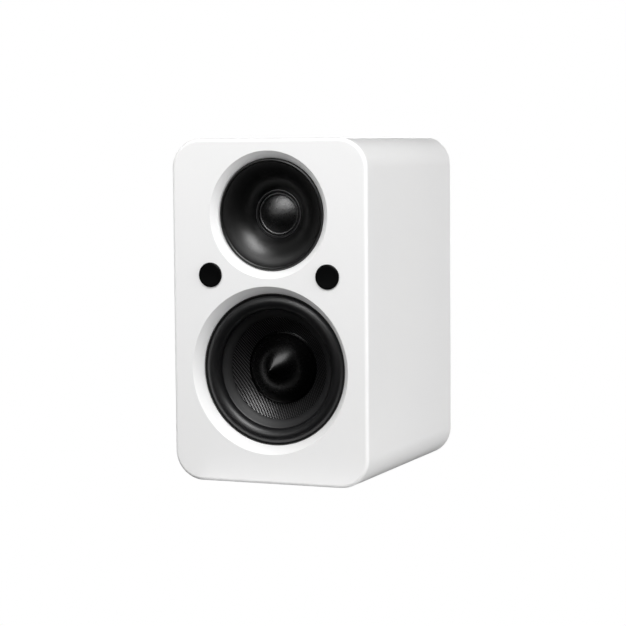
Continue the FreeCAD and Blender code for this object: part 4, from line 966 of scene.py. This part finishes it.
# %% Port
def build_port():
    bore, wall, length, flare, flange = 16.0, 2.0, 92.0, 6.0, 3.0
    start = REAR_AT - length
    turn_in = flare * (1 - math.sqrt(0.5))
    half, flange_at = wall / 2, REAR_AT - flange
    mouth = arc((bore + flare, REAR_AT), (bore + turn_in, REAR_AT - turn_in), (bore, REAR_AT - flare), 10)
    rim = rounded_corner((PORT_FLANGE, flange_at), (PORT_FLANGE, REAR_AT), (bore + flare, REAR_AT), 0.5, 4)
    inner_end = arc((bore, start + half), (bore + half, start), (bore + wall, start + half), 6)
    back = [(bore + wall, flange_at), (PORT_FLANGE, flange_at)]
    tube = ring("port_flared_tube", mouth + inner_end + back + rim, PORT, 120)
    return show(tube, "cabinet", "port_plastic", "port_tube")


build_port()

# %% [markdown]
# ## Terminal cup
# The cup is moulded in one: a flange with a soft rim, a tub with round corners, and a countersink in
# each corner. Two blocks are joined, and a third with more rounded corners hollows them.

# %% Terminal cup
CUP_RECESS_HALF = 29 * MM
CUP_RECESS_RISE = 20 * MM
CUP_RECESS = 24 * MM
CUP_WALL = 2.5 * MM
CUP_FLOOR = REAR - CUP_RECESS
CUP_FLOOR_THICK = 3 * MM
LEAD_IN = 0.7 * MM
POST_HOLE = 4.6
HOLE_FROM, HOLE_TO = 140, 155


def cup_block(name, half, rise, low_y, high_y, **shape):
    low = Vector((-half, low_y, CUP.z - rise))
    high = Vector((half, high_y, CUP.z + rise))
    return block(name, low, high, **shape)


def build_cup():
    cup = cup_block(
        "terminal_tub",
        CUP_HALF,
        CUP_RISE,
        REAR - FLANGE_THICK,
        REAR,
        corner=CUP_CORNER,
        segments=8,
        rims=((REAR, LEAD_IN),),
        rim_segments=3,
    )
    tub = cup_block(
        "tub",
        CUP_RECESS_HALF + CUP_WALL,
        CUP_RECESS_RISE + CUP_WALL,
        CUP_FLOOR - CUP_FLOOR_THICK,
        REAR - FLANGE_THICK / 2,
        corner=4.75 * MM,
        segments=8,
    )
    apply_modifier(cup, "BOOLEAN", operation="UNION", solver="EXACT", object=tub)
    bpy.data.objects.remove(tub)
    hollow = cup_block(
        "hollow",
        CUP_RECESS_HALF,
        CUP_RECESS_RISE,
        CUP_FLOOR,
        REAR + WALL,
        corner=3 * MM,
        segments=8,
        rims=((CUP_FLOOR, 1.2 * MM),),
        rim_segments=4,
    )
    lead_in = cup_block(
        "lead_in",
        CUP_RECESS_HALF + LEAD_IN,
        CUP_RECESS_RISE + LEAD_IN,
        REAR - LEAD_IN,
        REAR + WALL,
        corner=3 * MM + LEAD_IN,
        segments=8,
        rims=((REAR - LEAD_IN, 0.69 * MM),),
        rim_segments=4,
    )
    hole = [(0, HOLE_FROM), (POST_HOLE, HOLE_FROM), (POST_HOLE, HOLE_TO), (0, HOLE_TO)]
    collars = ("post_collar_positive", "post_collar_negative")
    holes = [turned("post_hole", hole, on_axis(middle(node)), 48) for node in collars]
    sinks = [countersink(spot, REAR_AT) for spot in CUP_SCREWS]
    carve(cup, hollow, lead_in, *holes, *sinks)
    settle(cup)
    return show(cup, "cabinet", "cup_plastic", "terminal_cup")


build_cup()

# %% [markdown]
# ## Binding posts
# Each thumb nut is turned and then fluted for grip. The flutes are made in edit mode: the points that
# lie in a flute are picked by their angle and drawn in towards the axis. The nut turns on its stud,
# and the washer under it only slides.

# %% Thumb nuts
NUT_FLUTES = 18
STEPS_PER_FLUTE = 8
FLUTE_FLOOR = 5.2 * MM
FLUTE_FROM = 1.5
FLUTE_PASSES = ((0.955, math.cos(math.radians(50))), (0.965, math.cos(math.radians(25))))


def build_nut(pole, slot):
    node = "post_nut_" + pole
    low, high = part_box(node)
    at = on_axis(middle(node))
    start, end = (low.y - FRONT) / MM, (high.y - FRONT) / MM
    radius, bore, round_over = 6.5, 3.08, 1.1
    shoulder = rounded_corner((radius, start + 2), (radius, end), (bore, end), round_over, 6)
    foot = rounded_corner((bore, start), (radius, start), (radius, start + 1), 0.35, 3)
    rings = [(radius, start + up) for up in (1.0, 1.7, 4, 7)] + [(radius, end - 2.4)]
    dish = [(4.9, end), (4.5, end - 0.45), (3.5, end - 0.45)]
    section = [(bore, start)] + foot + rings + shoulder + dish + [(bore, end - 0.2)]
    nut = ring("thumb_nut_" + pole, section, at, NUT_FLUTES * STEPS_PER_FLUTE)

    def in_flute(spot, half_width):
        arm = spot - at
        angle = math.atan2(arm.z, arm.x) * NUT_FLUTES
        outside = math.hypot(arm.x, arm.z) > FLUTE_FLOOR
        gripped = start + FLUTE_FROM < arm.y / MM < end + 1
        return outside and gripped and math.cos(angle) > half_width

    for share, half_width in FLUTE_PASSES:
        points_where(nut, lambda spot: in_flute(spot, half_width))
        bpy.ops.transform.resize(value=(share, 1, share), center_override=at)
        bpy.ops.object.mode_set(mode="OBJECT")
    settle(nut, 40)
    return show(nut, pole + "_nut", slot, node)


build_nut("positive", "positive_red")
build_nut("negative", "negative_black")

# %% [markdown]
# ## Screws and feet
# One countersunk screw is modelled, with a cross recess cut by two thin blocks, and copied to each
# place. The feet are short rubber discs with a soft lower rim.

# %% Screws
SHANK_RADIUS = 1.6
CROSS = 1.7, 0.35
CROSS_DEPTH = 0.9


def build_screws(name, places, surface, shank, node):
    head = SCREW_HEAD
    stem = [(SHANK_RADIUS, surface - HEAD_DEPTH), (SHANK_RADIUS, surface - shank)]
    stem += [(0, surface - shank - 1)]
    top = rounded_corner((0, surface), (head, surface), (head - 0.9, surface - 1), 0.25, 3)
    copies = []
    for spot in places:
        at = on_axis(spot)
        face = at + Vector((0, surface * MM, 0))
        screw = turned("screw", [(0, surface)] + top + stem, at, 40)
        for half_x, half_z in (CROSS, CROSS[::-1]):
            half = Vector((half_x, CROSS_DEPTH, half_z)) * MM
            carve(screw, block("recess", face - half, face + half))
        copies.append(screw)
    return show(join_all(name, copies), "cabinet", "black_screw", node)


# %% Feet
FOOT_RADIUS = 7 * MM
FOOT_EDGE = 0.5 * MM


def build_feet():
    low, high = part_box("rubber_feet")
    tall = high.z - low.z
    copies = []
    for x in (low.x + FOOT_RADIUS, high.x - FOOT_RADIUS):
        for y in (low.y + FOOT_RADIUS, high.y - FOOT_RADIUS):
            nothing_selected()
            at = Vector((x, y, low.z + tall / 2))
            bpy.ops.mesh.primitive_cylinder_add(vertices=64, radius=FOOT_RADIUS, depth=tall, location=at)
            foot = bpy.context.object
            bpy.ops.object.transform_apply(location=True, rotation=True, scale=True)
            edges_where(foot, lambda a, b: max(a.z, b.z) < low.z + SAME_SPOT, FOOT_EDGE, 3)
            copies.append(foot)
    return show(join_all("round_feet", copies), "cabinet", "foot_rubber", "rubber_feet")


build_feet()

# %% [markdown]
# ## Metals, windings, boards and felt
# The pieces inside and behind are CAD nodes whose shape is right. Each gets a finish of its own: cast
# and plated metal with a drifting sheen, copper laid in turns, cloth with a weave, a fibre board with
# a fine layer pattern, and wadding made of loose fibres.

# %% Finishes for the other nodes
def metal(name, first, second, rough, grain_size, depth, streak=1.0):
    """Plated or cast metal, its grain drawn out along the depth by a streak factor."""
    finish = Finish(name)
    spot = finish.node("ShaderNodeTexCoord", output="Object")
    drawn = finish.node("ShaderNodeMapping", {}, {"Vector": spot, "Scale": (1.0, 1.0 / streak, 1.0)})
    size = 1 / (grain_size * MM)
    grain = finish.node("ShaderNodeTexNoise", {}, {"Vector": drawn, "Scale": size, "Detail": 3.0})
    cloud = finish.noise(70, 3)
    return finish.surface(
        base_color=finish.mix(cloud, first, second),
        metallic=1.0,
        roughness=rough + 0.12 * (grain - 0.5) + 0.06 * cloud,
        normal=finish.bump(grain, depth * MM, 0.5),
    )


def wound(name, first, second):
    """Enamelled wire laid in turns along the depth."""
    finish = Finish(name)
    _, along, _ = finish.place()
    turns = abs((along * (math.pi / (0.45 * MM))).sine())
    return finish.surface(
        base_color=finish.mix(turns, first, second),
        metallic=0.9,
        roughness=0.38 - 0.1 * turns,
        normal=finish.bump(turns, 0.00012, 0.8),
    )


def fibres(name, first, second, size, depth, rough=0.9):
    """Felt, wadding or foam: a matt tangle of fibres or cells."""
    finish = Finish(name)
    tangle = finish.noise(1 / (size * MM), 5, 0.75)
    cells = finish.grain(1 / (size * MM))
    return finish.surface(
        base_color=finish.mix(tangle, first, second),
        roughness=rough,
        normal=finish.bump(tangle * 0.7 + cells * 0.3, depth * MM, 0.9),
    )


def fine_weave(name, first, second, pitch):
    """Resin-dipped cloth with a square weave."""
    finish = Finish(name)
    across, _, up = finish.place()
    thread = math.pi / (pitch * MM)
    weave = abs((across * thread).sine()) * abs((up * thread).sine())
    return finish.surface(
        base_color=finish.mix(weave, first, second),
        roughness=0.82 - 0.1 * weave,
        normal=finish.bump(weave, 0.00015, 0.8),
    )


fibres("foam_seal", grey(0.012), grey(0.04), 0.5, 0.12)
metal("black_screw", (0.025, 0.025, 0.027), (0.06, 0.06, 0.064), 0.36, 0.3, 0.01)
metal("cast_basket", (0.02, 0.02, 0.021), (0.045, 0.045, 0.047), 0.5, 0.6, 0.05)
moulded("former_film", (0.3, 0.14, 0.03), (0.42, 0.22, 0.06), 0.25, 0.4, 0.005, coat=0.4)
wound("copper_winding", (0.35, 0.11, 0.05), (0.85, 0.36, 0.2))
fine_weave("spider_cloth", (0.42, 0.27, 0.11), (0.66, 0.47, 0.24), 0.5)
metal("plate_steel", (0.5, 0.5, 0.52), (0.66, 0.66, 0.68), 0.3, 0.4, 0.008, streak=6)
fibres("ferrite", (0.03, 0.03, 0.033), (0.07, 0.07, 0.075), 0.6, 0.03, 0.6)
fibres("tag_board", (0.12, 0.04, 0.02), (0.2, 0.08, 0.035), 0.8, 0.02, 0.55)
metal("magnet_nickel", (0.6, 0.59, 0.56), (0.75, 0.74, 0.71), 0.16, 0.5, 0.004)
metal("post_brass", (0.72, 0.5, 0.2), (0.86, 0.64, 0.3), 0.2, 0.3, 0.006, streak=8)
fine_weave("circuit_board", (0.01, 0.09, 0.03), (0.02, 0.15, 0.055), 0.8)
moulded("nylon", (0.7, 0.69, 0.64), (0.8, 0.79, 0.75), 0.45, 0.5, 0.01)
moulded("film_yellow", (0.6, 0.4, 0.03), (0.75, 0.52, 0.06), 0.3, 0.6, 0.01, coat=0.3)
moulded("can_sleeve", (0.01, 0.02, 0.08), (0.02, 0.035, 0.13), 0.28, 0.5, 0.01, coat=0.3)
fibres("ceramic", (0.62, 0.6, 0.55), (0.78, 0.76, 0.7), 0.5, 0.03, 0.8)
moulded("lead_sleeve", (0.03, 0.03, 0.032), (0.3, 0.01, 0.01), 0.4, 0.5, 0.01, drift=20)
fibres("bare_board", (0.3, 0.19, 0.1), (0.45, 0.31, 0.18), 0.9, 0.04, 0.85)
fibres("felt", (0.3, 0.3, 0.31), (0.5, 0.5, 0.52), 1.2, 0.5, 0.95)
print(len(LOOKS), "finishes in all")

# %% Place the screws
HEAD_SUNK = 0.2
PANEL_SHANK = 23.0
CUP_SHANK = 7.5
head_top = REAR_AT - HEAD_SUNK
build_screws("panel_cross_screws", PANEL_SCREWS, head_top, PANEL_SHANK, "rear_panel_screws")
build_screws("cup_cross_screws", CUP_SCREWS, head_top, CUP_SHANK, "cup_screws")

# %% Dress the CAD nodes
slot_of = {part["node"]: part["material_slot"] for part in frame["record"]["subparts"]}
for name, node in nodes.items():
    for holder in node.material_slots:
        holder.material = LOOKS[slot_of[name]]
print(len(slot_of), "CAD nodes dressed in", len(set(slot_of.values())), "finishes")

# %% [markdown]
# ## Studio
# Three boxes are mirrored in the black gloss: the key box above the front and a little to the right, a
# weaker one in front on the left, and one behind for the rear. The other boxes show in no reflection:
# they only even out the lacquer, so the black pieces stay black. The floor and the surroundings shine
# plain white for the camera and light nothing. A grey sheet and a white card below, unseen by the
# camera, stand for the table. A faint even light from all round reaches into the hollows.

# %% Studio
def emitting(name, level):
    material = bpy.data.materials.new(name)
    material.use_nodes = True
    tree = material.node_tree
    tree.nodes.clear()
    light = tree.nodes.new("ShaderNodeEmission")
    light.inputs["Color"].default_value = (*grey(level), 1)
    output = tree.nodes.new("ShaderNodeOutputMaterial")
    tree.links.new(light.outputs[0], output.inputs["Surface"])
    return material


def only_for_camera(piece):
    piece.visible_diffuse = False
    piece.visible_glossy = False
    piece.visible_transmission = False
    piece.visible_shadow = False


def sheet(name, size, spot, material):
    nothing_selected()
    bpy.ops.mesh.primitive_plane_add(size=size, location=spot)
    made = bpy.context.object
    made.name = name
    return dress(made, material)


def only_for_light(piece):
    piece.visible_camera = False
    piece.visible_glossy = False


floor = sheet("floor", 12, (0, 0, -0.0002), emitting("pale_floor", 1.0))
bpy.ops.mesh.primitive_uv_sphere_add(radius=6, location=(0, 0, 0))
surround = bpy.context.object
surround.name = "surroundings"
dress(surround, emitting("pale_surroundings", 1.0))
table_grey = moulded("table_grey", grey(0.16), grey(0.2), 0.7, 2.0, 0.05)
card_white = moulded("card_white", grey(0.56), grey(0.6), 0.7, 2.0, 0.05)
table = sheet("table_sheet", 4, (0, 0, -0.002), table_grey)
card = sheet("white_card", 1.1, (0.5, 0.45, -0.001), card_white)
only_for_camera(floor)
only_for_camera(surround)
only_for_light(table)
only_for_light(card)
print("floor and surroundings for the camera, table and card for the light")

# %% Soft boxes
AIM = Vector((0, 0, 0.115))


def soft_box(name, spot, size, power, mirrored=True):
    """A rectangular light. One that isn't mirrored lights the paint but shows in no reflection."""
    light = bpy.data.lights.new(name, "AREA")
    light.shape = "RECTANGLE"
    light.size, light.size_y = size
    light.energy = power
    lamp = bpy.data.objects.new(name, light)
    bpy.context.scene.collection.objects.link(lamp)
    lamp.location = spot
    lamp.rotation_euler = (AIM - Vector(spot)).to_track_quat("-Z", "Y").to_euler()
    lamp.visible_glossy = mirrored
    print(f"{name}: {power} W", "" if mirrored else "(not mirrored)")
    return lamp


soft_box("key_box", (0.25, -0.9, 1.2), (1.0, 0.6), 14)
soft_box("front_left_box", (-0.38, -1.35, 0.72), (0.7, 0.4), 2.5)
soft_box("upper_left_fill", (-0.7, -0.8, 1.1), (0.9, 0.7), 4.5, mirrored=False)
soft_box("left_front_fill", (-1.0, -1.3, 0.6), (0.8, 1.0), 4, mirrored=False)
soft_box("right_side_fill", (1.5, -0.25, 0.35), (0.8, 1.4), 17, mirrored=False)
soft_box("low_right_fill", (1.3, -0.2, 0.08), (1.2, 0.12), 2, mirrored=False)
soft_box("right_front_fill", (1.2, -1.2, 0.4), (0.8, 1.0), 4, mirrored=False)
soft_box("behind_box", (-0.6, 1.5, 0.22), (1.2, 0.5), 16)
soft_box("left_side_fill", (-1.5, 0.35, 0.35), (0.8, 1.2), 8, mirrored=False)

# %% Air
world = bpy.data.worlds.new("studio")
bpy.context.scene.world = world
world.use_nodes = True
air = world.node_tree.nodes["Background"]
air.inputs["Color"].default_value = (*grey(1), 1)
air.inputs["Strength"].default_value = 0.05
world.cycles_visibility.glossy = False
bpy.context.scene.view_settings.view_transform = "Standard"
